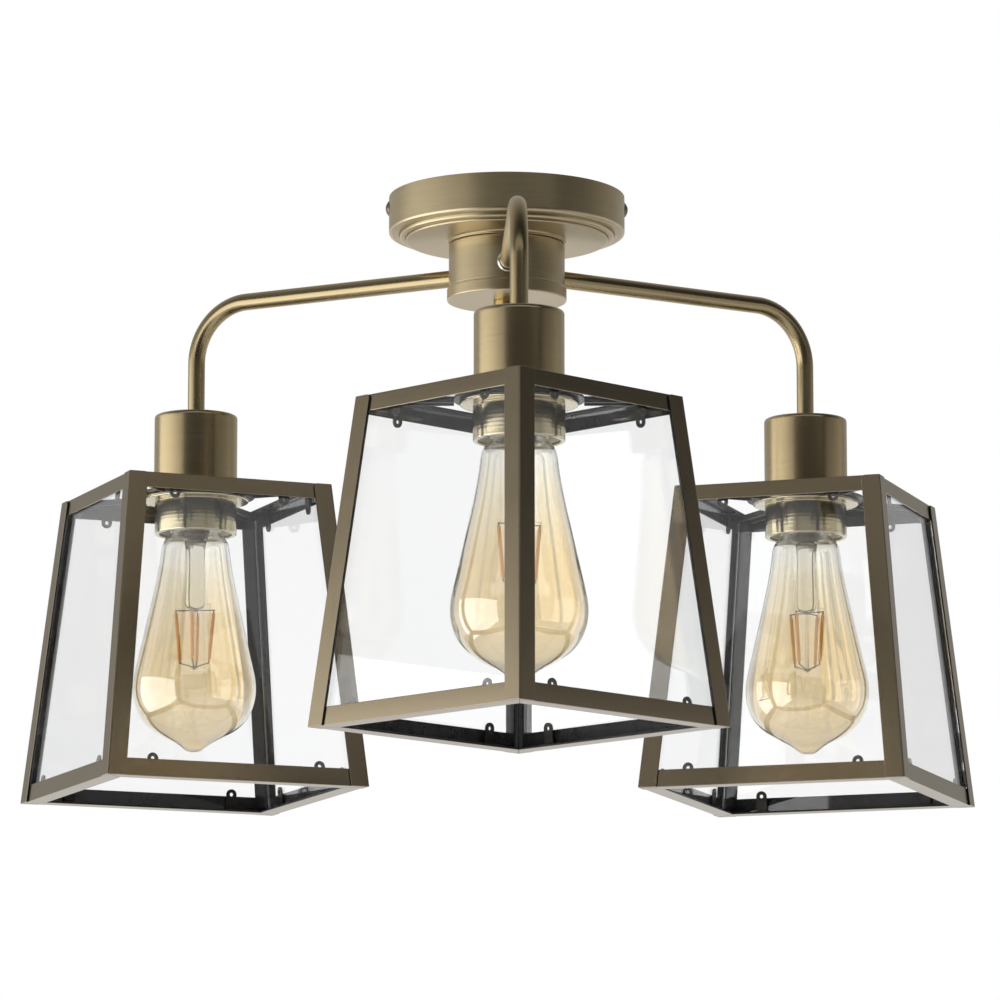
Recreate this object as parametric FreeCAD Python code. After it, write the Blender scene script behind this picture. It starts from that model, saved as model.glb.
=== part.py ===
import FreeCAD, Part

import math
import os

from FreeCAD import Vector

# Semi-flush ceiling light: a round canopy and hub with three bent tube arms, each carrying a
# lamp inside a tapered glass lantern. Millimetres, +Z up. The origin is the centre of the
# ceiling plane, the light hangs below it, and the front arm runs along -Y.

# ---- canopy ----
CANOPY_RADIUS = 60.0          # outer wall
CANOPY_WALL_DEPTH = 19.5      # ceiling to the edge of the outer wall
CANOPY_EDGE_ROUND = 1.6
CANOPY_BEAD_RADIUS = 54.0     # small bead between the wall and the step
CANOPY_BEAD_DEPTH = 1.2
CANOPY_BEAD_TAPER = 0.4
CANOPY_STEP_RADIUS = 51.5
CANOPY_STEP_DEPTH = 3.4
SHEET = 0.8                   # spun brass sheet of canopy, hub and cups

# ---- ceiling strap and the screws that hold the canopy on it ----
STRAP_WIDTH = 22.0
STRAP_THICKNESS = 1.6
STRAP_EAR_DEPTH = 12.0
STRAP_EAR_GAP = 0.5           # ear to the canopy's inner wall
STRAP_SLOT_SPACING = 60.0
STRAP_SLOT_LENGTH = 12.0
STRAP_SLOT_RADIUS = 2.3
STRAP_CENTRE_HOLE_RADIUS = 5.3
SIDE_SCREW_DEPTH = 6.0        # ceiling to the screw's axis
SIDE_SCREW_RADIUS = 2.0
SIDE_SCREW_HEAD_RADIUS = 4.0
SIDE_SCREW_HEAD_HEIGHT = 1.8
SIDE_SCREW_TAIL = 5.0         # length past the ear
EARTH_SCREW_X = 15.0
EARTH_SCREW_RADIUS = 1.9
EARTH_HEAD_RADIUS = 3.6
EARTH_HEAD_HEIGHT = 2.2
BLOCK_LENGTH, BLOCK_WIDTH, BLOCK_HEIGHT = 26.0, 15.0, 11.0
BLOCK_GAP = 1.0               # pressed collar to the terminal block
BLOCK_WIRE_HOLE_RADIUS = 1.7
BLOCK_WIRE_HOLE_HEIGHT = 4.5
BLOCK_WAYS = 3

# ---- hub ----
COLLAR_RADIUS = 30.2          # round boss pressed in the canopy's floor
COLLAR_DEPTH = 1.6
HUB_RADIUS = 29.5
HUB_HEIGHT = 28.5
HUB_EDGE_ROUND = 1.2
COVER_RADIUS = 30.4           # lid that slips over the hub's open end
COVER_HEIGHT = 6.0
COVER_EDGE_ROUND = 0.6
COVER_CLEARANCE = 0.1
STEM_RADIUS = 4.9             # threaded tube on the hub's axis
STEM_WALL = 1.3
STEM_ABOVE_FLOOR = 6.0
STEM_CLEARANCE = 0.2
NUT_ACROSS_FLATS = 14.0
NUT_THICKNESS = 3.0
FINIAL_RADIUS = 6.8
FINIAL_COLLAR_HEIGHT = 3.4
FINIAL_TIP_RADIUS = 5.8
FINIAL_TIP_HEIGHT = 3.2
FINIAL_FLOOR = 1.4

# ---- arms ----
ARM_REACH = 184.0             # hub axis to lamp axis
ARM_DEPTH = 39.0              # ceiling to the axis of the level run
ARM_RADIUS = 4.4
ARM_WALL = 1.0
ARM_BEND_RADIUS = 30.0
ARM_INNER_END = 22.5          # hub axis to the tube's inner end
ARM_CLEARANCE = 0.1
ARM_NUT_GAP = 0.2             # nut's rim to the hub's inner wall

# ---- cup, lampholder and shade ring, all on the lamp axis ----
CUP_DEPTH = 97.0              # ceiling to the cup's top
CUP_RADIUS = 21.6
CUP_TOP_ROUND = 2.6
ARM_IN_HOLDER = 4.0           # tube below the cup's top wall
HOLDER_DOME_RADIUS = 19.0
HOLDER_DOME_ROUND = 5.0
SKIRT_RADIUS = 19.85          # threaded skirt of the lampholder
SKIRT_TOP = 32.0              # cup's top to the start of the skirt
SKIRT_RECESS_RADIUS = 17.8
SKIRT_RECESS_DEPTH = 4.0
SLEEVE_RADIUS = 14.2
SLEEVE_WALL = 0.4
SLEEVE_LENGTH = 24.0
CONTACT_RADIUS = 3.0
RING_FLANGE_RADIUS = 27.6
RING_FLANGE_THICKNESS = 1.5
RING_RADIUS = 21.3
RING_HEIGHT = 19.5
RING_MOUTH_RADIUS = 19.0
RING_LIP = 1.2
RING_EDGE_ROUND = 0.8
TURN_GAP = 0.3                # between pieces that turn or pull apart

# ---- lantern ----
LANTERN_TOP_DEPTH = 138.0     # ceiling to the lantern's top edge
LANTERN_HEIGHT = 158.0
TOP_SIDE = 110.0              # over the posts, at the top
BOTTOM_SIDE = 141.0           # over the posts, at the bottom
POST_FLANGE = 10.0
POST_SHEET = 1.0
POST_CORNER_ROUND = 2.0
RAIL_SHEET = 1.0
TOP_RAIL_FACE = 8.0
TOP_RAIL_LIP = 8.0
BOTTOM_RAIL_FACE = 9.0
BOTTOM_RAIL_LIP = 10.0
MITRE_GAP = 0.1
PANE_THICKNESS = 2.0
PANE_CLEARANCE = 0.1
PANE_CORNER_GAP = 0.3
CLIP_FROM_CORNER = 25.5
CLIP_WIDTH = 5.6
CLIP_SHEET = 0.8
CLIP_HEIGHT = 11.5
CLIP_FOOT = 4.2
CLIP_HOLE_RADIUS = 1.0
CROSS_SHEET = 1.2
CROSS_DISC_RADIUS = 30.5
CROSS_ARM_WIDTH = 9.0
CROSS_ARM_EDGE = 3.0          # depth of the arm's turned-down edges

# ---- bulb ----
BULB_RADIUS = 32.0
BULB_LENGTH = 143.0           # centre contact to glass tip
BULB_WALL = 0.9
BULB_WIDEST = 34.3            # tip to the widest place
CAP_RADIUS = 13.1
CAP_LENGTH = 22.5
CAP_WALL = 0.4
CAP_CONE_HEIGHT = 2.6
CAP_CONTACT_HEIGHT = 2.4
CAP_CONTACT_RADIUS = 4.6
BULB_NECK_RADIUS = 12.4       # glass inside the cap
BULB_NECK_FLARE = 0.3         # glass swells by this just under the cap
BULB_NECK_DROP = 0.8
BULB_STEM_RADIUS = 5.2
BULB_STEM_LENGTH = 41.0       # edge of the cap to the end of the thick stem
BULB_ROD_RADIUS = 0.8
BULB_ROD_LENGTH = 31.5
FILAMENT_COUNT = 4
FILAMENT_RADIUS = 0.9
FILAMENT_LENGTH = 27.0
FILAMENT_TOP_SPREAD = 10.0
FILAMENT_BOTTOM_SPREAD = 7.5
WIRE_RADIUS = 0.35
WIRE_COLLAR_RADIUS = 1.8
WIRE_COLLAR_HEIGHT = 1.0

# ---- the three lamps: turn about Z from the front arm, and how far each lantern stands
# turned on its lampholder from having a corner straight outwards ----
CORNER_OUT = 45.0
LAMPS = {"front": (0.0, -1.8), "right": (120.0, -6.0), "left": (-120.0, 6.0)}

# ---- heights worked out from the sizes above ----
CANOPY_FLOOR = -(CANOPY_WALL_DEPTH + CANOPY_STEP_DEPTH)
HUB_TOP = CANOPY_FLOOR - COLLAR_DEPTH
HUB_BOTTOM = HUB_TOP - HUB_HEIGHT
COVER_BOTTOM = HUB_BOTTOM - COVER_CLEARANCE - SHEET
CUP_TOP = -CUP_DEPTH
HOLDER_TOP = CUP_TOP - SHEET
LANTERN_TOP = -LANTERN_TOP_DEPTH
LANTERN_BOTTOM = LANTERN_TOP - LANTERN_HEIGHT
CROSS_TOP = LANTERN_TOP - RAIL_SHEET
CROSS_BOTTOM = CROSS_TOP - CROSS_SHEET
CUP_BOTTOM = CROSS_TOP + TURN_GAP
RING_TOP = CROSS_BOTTOM - TURN_GAP
RING_BOTTOM = RING_TOP - RING_HEIGHT
SKIRT_BOTTOM = RING_BOTTOM + RING_LIP + TURN_GAP
SLEEVE_BOTTOM = SKIRT_BOTTOM + SKIRT_RECESS_DEPTH
SLEEVE_TOP = SLEEVE_BOTTOM + SLEEVE_LENGTH
BULB_TOP = SLEEVE_TOP - TURN_GAP
BULB_TIP = BULB_TOP - BULB_LENGTH
BULB_CAP_EDGE = BULB_TOP - CAP_CONTACT_HEIGHT - CAP_CONE_HEIGHT - CAP_LENGTH

AXIS = Vector(0, 0, 1)
OPENING = (BOTTOM_SIDE - TOP_SIDE) / 2 / LANTERN_HEIGHT   # outward lean of the lantern's sides


# ---- small helpers ----

def cylinder(radius, low, high, x=0.0, y=0.0):
    return Part.makeCylinder(radius, high - low, Vector(x, y, low))


def revolved(points):
    """Solid of a closed outline of (radius, height) points turned about Z."""
    wire = Part.makePolygon([Vector(r, 0, z) for r, z in points + points[:1]])
    return Part.Face(wire).revolve(Vector(0, 0, 0), AXIS, 360)


def rounded(solid, radius, test):
    """Fillet the edges of solid for which test(edge) is true."""
    edges = [edge for edge in solid.Edges if test(edge)]
    return solid.makeFillet(radius, edges) if edges else solid


def circle_at(edge, height, radius):
    """True for a full circle edge about Z at this height and radius."""
    box = edge.BoundBox
    return (abs(box.ZMin - height) < 0.01 and abs(box.ZMax - height) < 0.01
            and abs(box.XLength - 2 * radius) < 0.02 and edge.isClosed())


def hexagon_nut(across, thickness, bore):
    """Hexagon nut with its axis along Z, from height 0 to its thickness."""
    corner = across / math.sqrt(3)
    turns = [math.radians(60 * k) for k in range(7)]
    wire = Part.makePolygon([Vector(corner * math.cos(t), corner * math.sin(t), 0) for t in turns])
    body = Part.Face(wire).extrude(Vector(0, 0, thickness))
    return body.cut(cylinder(bore, -1, thickness + 1))


def turned(shape, angle, x=0.0):
    """Copy of shape moved x along +X, then turned about Z by angle degrees."""
    copy = shape.copy()
    copy.translate(Vector(x, 0, 0))
    copy.rotate(Vector(0, 0, 0), AXIS, angle)
    return copy


def block(corners):
    """Solid with six flat sides from 8 corners: four below, then four above them."""
    points = [Vector(*c) for c in corners]
    rings = [(0, 1, 2, 3), (4, 5, 6, 7), (0, 1, 5, 4), (1, 2, 6, 5), (2, 3, 7, 6), (3, 0, 4, 7)]
    faces = [Part.Face(Part.makePolygon([points[i] for i in ring + ring[:1]])) for ring in rings]
    solid = Part.Solid(Part.Shell(faces))
    if solid.Volume < 0:
        solid.reverse()
    return solid


def around(shape, angles=(0, 90, 180, 270)):
    """Copies of shape turned about Z."""
    return [turned(shape, angle) for angle in angles]


# ---- canopy, strap and hub, on the hub's axis ----

def canopy():
    wall_edge = -CANOPY_WALL_DEPTH
    bead = wall_edge - CANOPY_BEAD_DEPTH
    floor = CANOPY_FLOOR
    collar = floor - COLLAR_DEPTH
    outer = revolved([(0, 0), (CANOPY_RADIUS, 0), (CANOPY_RADIUS, wall_edge),
                      (CANOPY_BEAD_RADIUS, wall_edge), (CANOPY_BEAD_RADIUS - CANOPY_BEAD_TAPER, bead),
                      (CANOPY_STEP_RADIUS, bead), (CANOPY_STEP_RADIUS, floor),
                      (COLLAR_RADIUS, floor), (COLLAR_RADIUS, collar), (0, collar)])
    outer = rounded(outer, CANOPY_EDGE_ROUND, lambda e: circle_at(e, wall_edge, CANOPY_RADIUS))
    outer = rounded(outer, SHEET, lambda e: circle_at(e, floor, CANOPY_STEP_RADIUS))
    inner = revolved([(0, 1), (CANOPY_RADIUS - SHEET, 1), (CANOPY_RADIUS - SHEET, wall_edge + SHEET),
                      (CANOPY_STEP_RADIUS - SHEET, wall_edge + SHEET),
                      (CANOPY_STEP_RADIUS - SHEET, floor + SHEET),
                      (COLLAR_RADIUS - SHEET, floor + SHEET),
                      (COLLAR_RADIUS - SHEET, collar + SHEET), (0, collar + SHEET)])
    shell = outer.cut(inner).cut(cylinder(STEM_RADIUS + STEM_CLEARANCE, collar - 1, 0))
    reach = CANOPY_RADIUS + 1
    side_hole = Part.makeCylinder(SIDE_SCREW_RADIUS + STEM_CLEARANCE, 2 * reach,
                                  Vector(-reach, 0, -SIDE_SCREW_DEPTH), Vector(1, 0, 0))
    return shell.cut(side_hole)


def strap_half_length():
    return CANOPY_RADIUS - SHEET - STRAP_EAR_GAP


def ceiling_strap():
    half = strap_half_length()
    half_width = STRAP_WIDTH / 2
    plate = Part.makeBox(2 * half, STRAP_WIDTH, STRAP_THICKNESS,
                         Vector(-half, -half_width, -STRAP_THICKNESS))
    plate = plate.common(cylinder(half, -STRAP_THICKNESS, 0))
    for x in (-half, half):
        inner_x = x if x < 0 else x - STRAP_THICKNESS
        ear = Part.makeBox(STRAP_THICKNESS, STRAP_WIDTH / 2, STRAP_EAR_DEPTH,
                           Vector(inner_x, -STRAP_WIDTH / 4, -STRAP_EAR_DEPTH))
        ear = ear.common(cylinder(half, -STRAP_EAR_DEPTH, 0))
        hole = Part.makeCylinder(SIDE_SCREW_RADIUS, 3 * STRAP_THICKNESS,
                                 Vector(inner_x - STRAP_THICKNESS, 0, -SIDE_SCREW_DEPTH), Vector(1, 0, 0))
        plate = plate.fuse(ear).removeSplitter().cut(hole)
    straight = STRAP_SLOT_LENGTH - 2 * STRAP_SLOT_RADIUS
    for x in (-STRAP_SLOT_SPACING / 2, STRAP_SLOT_SPACING / 2):
        slot = Part.makeBox(straight, 2 * STRAP_SLOT_RADIUS, 3 * STRAP_THICKNESS,
                            Vector(x - straight / 2, -STRAP_SLOT_RADIUS, -2 * STRAP_THICKNESS))
        for end in (-straight / 2, straight / 2):
            slot = slot.fuse(cylinder(STRAP_SLOT_RADIUS, -2 * STRAP_THICKNESS, STRAP_THICKNESS, x + end))
        plate = plate.cut(slot)
    plate = plate.cut(cylinder(STRAP_CENTRE_HOLE_RADIUS, -2 * STRAP_THICKNESS, 1))
    return plate.cut(cylinder(EARTH_SCREW_RADIUS, -2 * STRAP_THICKNESS, 1, EARTH_SCREW_X))


def earth_screw():
    head_top = -STRAP_THICKNESS
    shank = cylinder(EARTH_SCREW_RADIUS, head_top, 0, EARTH_SCREW_X)
    head = cylinder(EARTH_HEAD_RADIUS, head_top - EARTH_HEAD_HEIGHT, head_top, EARTH_SCREW_X)
    return shank.fuse(head).removeSplitter()


def canopy_screws():
    """Two domed screws through the canopy's wall into the strap's ears."""
    length = SHEET + STRAP_EAR_GAP + STRAP_THICKNESS + SIDE_SCREW_TAIL
    shank = cylinder(SIDE_SCREW_RADIUS, -length, 0)
    dome_radius = (SIDE_SCREW_HEAD_RADIUS ** 2 + SIDE_SCREW_HEAD_HEIGHT ** 2) / 2 / SIDE_SCREW_HEAD_HEIGHT
    dome = Part.makeSphere(dome_radius, Vector(0, 0, SIDE_SCREW_HEAD_HEIGHT - dome_radius))
    head = dome.common(cylinder(SIDE_SCREW_HEAD_RADIUS + 1, 0, SIDE_SCREW_HEAD_HEIGHT + 1))
    screw = shank.fuse(head).removeSplitter()
    screw.rotate(Vector(0, 0, 0), Vector(0, 1, 0), 90)
    screw.translate(Vector(CANOPY_RADIUS, 0, -SIDE_SCREW_DEPTH))
    return [screw, turned(screw, 180)]


def terminal_block():
    floor = CANOPY_FLOOR + SHEET
    body = Part.makeBox(BLOCK_LENGTH, BLOCK_WIDTH, BLOCK_HEIGHT,
                        Vector(-BLOCK_LENGTH / 2, COLLAR_RADIUS + BLOCK_GAP, floor))
    way = BLOCK_LENGTH / BLOCK_WAYS
    for k in range(BLOCK_WAYS):
        x = (k + 0.5) * way - BLOCK_LENGTH / 2
        hole = Part.makeCylinder(BLOCK_WIRE_HOLE_RADIUS, 3 * BLOCK_WIDTH,
                                 Vector(x, COLLAR_RADIUS, floor + BLOCK_WIRE_HOLE_HEIGHT), Vector(0, 1, 0))
        body = body.cut(hole)
    return body


def hub_shell():
    outer = cylinder(HUB_RADIUS, HUB_BOTTOM, HUB_TOP)
    outer = rounded(outer, HUB_EDGE_ROUND, lambda e: circle_at(e, HUB_TOP, HUB_RADIUS))
    inner = cylinder(HUB_RADIUS - SHEET, HUB_BOTTOM - 1, HUB_TOP - SHEET)
    shell = outer.cut(inner).cut(cylinder(STEM_RADIUS + STEM_CLEARANCE, HUB_TOP - 5, HUB_TOP + 1))
    for turn, _ in LAMPS.values():
        hole = Part.makeCylinder(ARM_RADIUS + ARM_CLEARANCE, HUB_RADIUS, Vector(ARM_INNER_END, 0, -ARM_DEPTH),
                                 Vector(1, 0, 0))
        shell = shell.cut(turned(hole, turn - 90))
    return shell


def hub_cover():
    top = COVER_BOTTOM + COVER_HEIGHT
    outer = cylinder(COVER_RADIUS, COVER_BOTTOM, top)
    outer = rounded(outer, COVER_EDGE_ROUND, lambda e: circle_at(e, COVER_BOTTOM, COVER_RADIUS))
    inner = cylinder(HUB_RADIUS + COVER_CLEARANCE, COVER_BOTTOM + SHEET, top + 1)
    return outer.cut(inner).cut(cylinder(STEM_RADIUS + STEM_CLEARANCE, COVER_BOTTOM - 1, top))


def hub_stem():
    low = COVER_BOTTOM - FINIAL_COLLAR_HEIGHT - FINIAL_TIP_HEIGHT + FINIAL_FLOOR + STEM_CLEARANCE
    high = CANOPY_FLOOR + STEM_ABOVE_FLOOR
    return cylinder(STEM_RADIUS, low, high).cut(cylinder(STEM_RADIUS - STEM_WALL, low - 1, high + 1))


def hub_nuts():
    """One nut on the canopy's pressed collar, one under the hub's top."""
    nut = hexagon_nut(NUT_ACROSS_FLATS, NUT_THICKNESS, STEM_RADIUS)
    upper = nut.copy()
    upper.translate(Vector(0, 0, HUB_TOP + SHEET))
    lower = nut.copy()
    lower.translate(Vector(0, 0, HUB_TOP - SHEET - NUT_THICKNESS))
    return [upper, lower]


def finial():
    shoulder = COVER_BOTTOM - FINIAL_COLLAR_HEIGHT
    tip = shoulder - FINIAL_TIP_HEIGHT
    body = revolved([(0, COVER_BOTTOM), (FINIAL_RADIUS, COVER_BOTTOM), (FINIAL_RADIUS, shoulder),
                     (FINIAL_TIP_RADIUS, shoulder), (FINIAL_TIP_RADIUS, tip), (0, tip)])
    body = rounded(body, COVER_EDGE_ROUND, lambda e: circle_at(e, tip, FINIAL_TIP_RADIUS))
    return body.cut(cylinder(STEM_RADIUS, tip + FINIAL_FLOOR, COVER_BOTTOM + 1))


# ---- arm and lampholder; each is made on the +X side and turned to its place ----

def arm_tube(radius):
    """Level run, quarter bend and drop of one arm, as a round bar."""
    bend_start = ARM_REACH - ARM_BEND_RADIUS
    level = Part.makeCylinder(radius, bend_start - ARM_INNER_END, Vector(ARM_INNER_END, 0, -ARM_DEPTH),
                              Vector(1, 0, 0))
    section = Part.Face(Part.Wire(Part.makeCircle(radius, Vector(bend_start, 0, -ARM_DEPTH),
                                                  Vector(1, 0, 0))))
    bend = section.revolve(Vector(bend_start, 0, -ARM_DEPTH - ARM_BEND_RADIUS), Vector(0, 1, 0), 90)
    drop = cylinder(radius, HOLDER_TOP - ARM_IN_HOLDER, -ARM_DEPTH - ARM_BEND_RADIUS, ARM_REACH)
    return level.fuse([bend, drop])


def arm():
    return arm_tube(ARM_RADIUS).cut(arm_tube(ARM_RADIUS - ARM_WALL)).removeSplitter()


def arm_nut():
    wall = math.sqrt((HUB_RADIUS - SHEET) ** 2 - NUT_ACROSS_FLATS ** 2 / 3)
    nut = hexagon_nut(NUT_ACROSS_FLATS, NUT_THICKNESS, ARM_RADIUS)
    nut.rotate(Vector(0, 0, 0), Vector(0, 1, 0), 90)
    nut.translate(Vector(wall - ARM_NUT_GAP - NUT_THICKNESS, 0, -ARM_DEPTH))
    return nut


def holder_cup():
    outer = cylinder(CUP_RADIUS, CUP_BOTTOM, CUP_TOP)
    outer = rounded(outer, CUP_TOP_ROUND, lambda e: circle_at(e, CUP_TOP, CUP_RADIUS))
    inner = cylinder(CUP_RADIUS - SHEET, CUP_BOTTOM - 1, CUP_TOP - SHEET)
    inner = rounded(inner, CUP_TOP_ROUND - SHEET,
                    lambda e: circle_at(e, CUP_TOP - SHEET, CUP_RADIUS - SHEET))
    return outer.cut(inner).cut(cylinder(ARM_RADIUS + ARM_CLEARANCE, CUP_TOP - 5, CUP_TOP + 1))


def lampholder():
    """Moulded body: a dome on the arm's end and a skirt that carries the shade ring."""
    skirt_top = CUP_TOP - SKIRT_TOP
    body = cylinder(HOLDER_DOME_RADIUS, skirt_top, HOLDER_TOP)
    body = rounded(body, HOLDER_DOME_ROUND, lambda e: circle_at(e, HOLDER_TOP, HOLDER_DOME_RADIUS))
    body = body.fuse(cylinder(SKIRT_RADIUS, SKIRT_BOTTOM, skirt_top)).removeSplitter()
    body = body.cut(cylinder(SKIRT_RECESS_RADIUS, SKIRT_BOTTOM - 1, SLEEVE_BOTTOM))
    body = body.cut(cylinder(SLEEVE_RADIUS, SLEEVE_BOTTOM - 1, SLEEVE_TOP + 2 * SLEEVE_WALL))
    return body.cut(cylinder(ARM_RADIUS, HOLDER_TOP - ARM_IN_HOLDER, HOLDER_TOP + 1))


def socket_contacts():
    """Screw sleeve of the socket and, above it, the sprung centre contact."""
    sleeve = cylinder(SLEEVE_RADIUS, SLEEVE_BOTTOM, SLEEVE_TOP - SLEEVE_WALL)
    sleeve = sleeve.cut(cylinder(SLEEVE_RADIUS - SLEEVE_WALL, SLEEVE_BOTTOM - 1, SLEEVE_TOP))
    leaf = cylinder(CONTACT_RADIUS, SLEEVE_TOP, SLEEVE_TOP + 2 * SLEEVE_WALL)
    return [sleeve, leaf]


def shade_ring():
    flange_bottom = RING_TOP - RING_FLANGE_THICKNESS
    outer = revolved([(0, RING_TOP), (RING_FLANGE_RADIUS, RING_TOP), (RING_FLANGE_RADIUS, flange_bottom),
                      (RING_RADIUS, flange_bottom), (RING_RADIUS, RING_BOTTOM), (0, RING_BOTTOM)])
    outer = rounded(outer, RING_EDGE_ROUND, lambda e: circle_at(e, RING_BOTTOM, RING_RADIUS))
    bore = cylinder(SKIRT_RADIUS + TURN_GAP, RING_BOTTOM + RING_LIP, RING_TOP + 1)
    return outer.cut(bore).cut(cylinder(RING_MOUTH_RADIUS, RING_BOTTOM - 1, RING_TOP))


# ---- lantern, made on the Z axis with its sides square to X and Y ----

def half_side(height):
    """Half the lantern's outer side at this height."""
    return TOP_SIDE / 2 + (LANTERN_TOP - height) * OPENING


def side_slab(low, high, outer_inset, inner_inset, end_gap=MITRE_GAP):
    """Slab behind the +X side between two heights and two insets, mitred at both ends."""
    corners = []
    for z in (low, high):
        outer = half_side(z) - outer_inset
        inner = half_side(z) - inner_inset
        corners += [(outer, -outer + end_gap, z), (outer, outer - end_gap, z),
                    (inner, inner - end_gap, z), (inner, -inner + end_gap, z)]
    return block(corners)


def posts():
    """Four folded angles that stand over the ends of the rails."""
    half = TOP_SIDE / 2
    lean = (BOTTOM_SIDE - TOP_SIDE) / 2
    steps = [(0, 0), (-POST_FLANGE, 0), (-POST_FLANGE, -POST_SHEET), (-POST_SHEET, -POST_SHEET),
             (-POST_SHEET, -POST_FLANGE), (0, -POST_FLANGE), (0, 0)]
    wire = Part.makePolygon([Vector(half + x, half + y, LANTERN_TOP) for x, y in steps])
    post = Part.Face(wire).extrude(Vector(lean, lean, -LANTERN_HEIGHT))

    def flange_tip(edge):
        box = edge.BoundBox
        low_corner = min(box.XMin, box.YMin)
        thin = max(box.XLength, box.YLength) < 1.5 * POST_SHEET and box.ZLength < 0.01
        return thin and box.ZMin > LANTERN_TOP - 1 and low_corner < half - POST_FLANGE + 0.1

    return around(rounded(post, POST_CORNER_ROUND, flange_tip))


def top_rails():
    back = POST_SHEET + RAIL_SHEET
    face = side_slab(LANTERN_TOP - TOP_RAIL_FACE, LANTERN_TOP, POST_SHEET, back)
    lip = side_slab(LANTERN_TOP - RAIL_SHEET, LANTERN_TOP, POST_SHEET, POST_SHEET + TOP_RAIL_LIP)
    return around(face.fuse(lip).removeSplitter())


def bottom_rails():
    back = POST_SHEET + RAIL_SHEET
    face = side_slab(LANTERN_BOTTOM, LANTERN_BOTTOM + BOTTOM_RAIL_FACE, POST_SHEET, back)
    lip = side_slab(LANTERN_BOTTOM, LANTERN_BOTTOM + RAIL_SHEET, POST_SHEET, POST_SHEET + BOTTOM_RAIL_LIP)
    return around(face.fuse(lip).removeSplitter())


def pane_insets():
    outer = POST_SHEET + RAIL_SHEET + PANE_CLEARANCE
    return outer, outer + PANE_THICKNESS


def glass_panes():
    outer, inner = pane_insets()
    low = LANTERN_BOTTOM + RAIL_SHEET + PANE_CLEARANCE
    high = LANTERN_TOP - RAIL_SHEET - PANE_CLEARANCE
    corners = []
    for z in (low, high):
        half = half_side(z)
        end = half - inner - PANE_CORNER_GAP
        corners += [(half - outer, -end, z), (half - outer, end, z),
                    (half - inner, end, z), (half - inner, -end, z)]
    return around(block(corners))


def clip(lip_face, upward):
    """Bent tongue with a round, pierced end that presses the pane to the rail."""
    inset = pane_insets()[1] + PANE_CLEARANCE
    half_width = CLIP_WIDTH / 2
    straight = CLIP_HEIGHT - half_width
    tongue = Part.makeBox(CLIP_SHEET, CLIP_WIDTH, straight, Vector(-CLIP_SHEET, -half_width, 0))
    end = Part.makeCylinder(half_width, CLIP_SHEET, Vector(-CLIP_SHEET, 0, straight), Vector(1, 0, 0))
    hole = Part.makeCylinder(CLIP_HOLE_RADIUS, 3 * CLIP_SHEET, Vector(-2 * CLIP_SHEET, 0, straight),
                             Vector(1, 0, 0))
    tongue = tongue.fuse(end).removeSplitter().cut(hole)
    if not upward:
        tongue = tongue.mirror(Vector(0, 0, 0), AXIS)
    tongue.rotate(Vector(0, 0, 0), Vector(0, 1, 0), -math.degrees(math.atan(OPENING)))
    tongue.translate(Vector(half_side(lip_face) - inset, 0, lip_face))
    direction = 1 if upward else -1
    foot_low = min(lip_face, lip_face + direction * CLIP_SHEET)
    foot = Part.makeBox(CLIP_FOOT, CLIP_WIDTH, CLIP_SHEET,
                        Vector(half_side(lip_face) - inset - CLIP_FOOT, -half_width, foot_low))
    whole = tongue.fuse(foot)
    side = direction * (LANTERN_HEIGHT / 2)
    keep = Part.makeBox(BOTTOM_SIDE, BOTTOM_SIDE, abs(side),
                        Vector(0, -BOTTOM_SIDE / 2, min(lip_face, lip_face + side)))
    return whole.common(keep).removeSplitter()


def clips():
    """Two clips on the lip of each rail, top and bottom."""
    made = []
    for lip_face, upward in ((LANTERN_BOTTOM + RAIL_SHEET, True), (LANTERN_TOP - RAIL_SHEET, False)):
        offset = half_side(lip_face) - CLIP_FROM_CORNER
        for y in (-offset, offset):
            tongue = clip(lip_face, upward)
            tongue.translate(Vector(0, y, 0))
            made += around(tongue)
    return made


def cross():
    """Cross in the open top: a pierced disc and four channel arms that butt on its rim."""
    disc = cylinder(CROSS_DISC_RADIUS, CROSS_BOTTOM, CROSS_TOP)
    disc = disc.cut(cylinder(SKIRT_RADIUS + TURN_GAP, CROSS_BOTTOM - 1, CROSS_TOP + 1))
    inner_corner = half_side(CROSS_TOP) - pane_insets()[1] - PANE_CORNER_GAP
    reach = inner_corner * math.sqrt(2) - CROSS_ARM_WIDTH / 2 - PANE_CORNER_GAP
    channel = Part.makeBox(reach, CROSS_ARM_WIDTH, CROSS_ARM_EDGE,
                           Vector(0, -CROSS_ARM_WIDTH / 2, CROSS_TOP - CROSS_ARM_EDGE))
    hollow = Part.makeBox(2 * reach, CROSS_ARM_WIDTH - 2 * CROSS_SHEET, CROSS_ARM_EDGE,
                          Vector(-reach / 2, -CROSS_ARM_WIDTH / 2 + CROSS_SHEET,
                                 CROSS_BOTTOM - CROSS_ARM_EDGE))
    channel = channel.cut(hollow)
    channel = channel.cut(cylinder(CROSS_DISC_RADIUS, CROSS_TOP - 2 * CROSS_ARM_EDGE, CROSS_TOP + 1))
    return [disc] + around(channel, (45, 135, 225, 315))


# ---- bulb ----

def bulb_outline(inset):
    """Outline of the glass from neck to tip, drawn in by inset, as (radius, height) points."""
    tip = BULB_TIP + inset
    widest = BULB_TIP + BULB_WIDEST
    flank = BULB_CAP_EDGE - widest
    body = BULB_RADIUS - inset
    return [(BULB_NECK_RADIUS + BULB_NECK_FLARE - inset, BULB_CAP_EDGE - BULB_NECK_DROP),
            (0.50 * BULB_RADIUS - inset, widest + 0.945 * flank),
            (0.56 * BULB_RADIUS - inset, widest + 0.86 * flank),
            (0.72 * BULB_RADIUS - inset, widest + 0.52 * flank),
            (0.94 * BULB_RADIUS - inset, widest + 0.14 * flank),
            (body, widest),
            (0.84 * body, tip + 0.53 * (widest - tip)),
            (0.38 * body, tip + 0.225 * (widest - tip)),
            (0.14 * body, tip + 0.07 * (widest - tip))]


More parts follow.
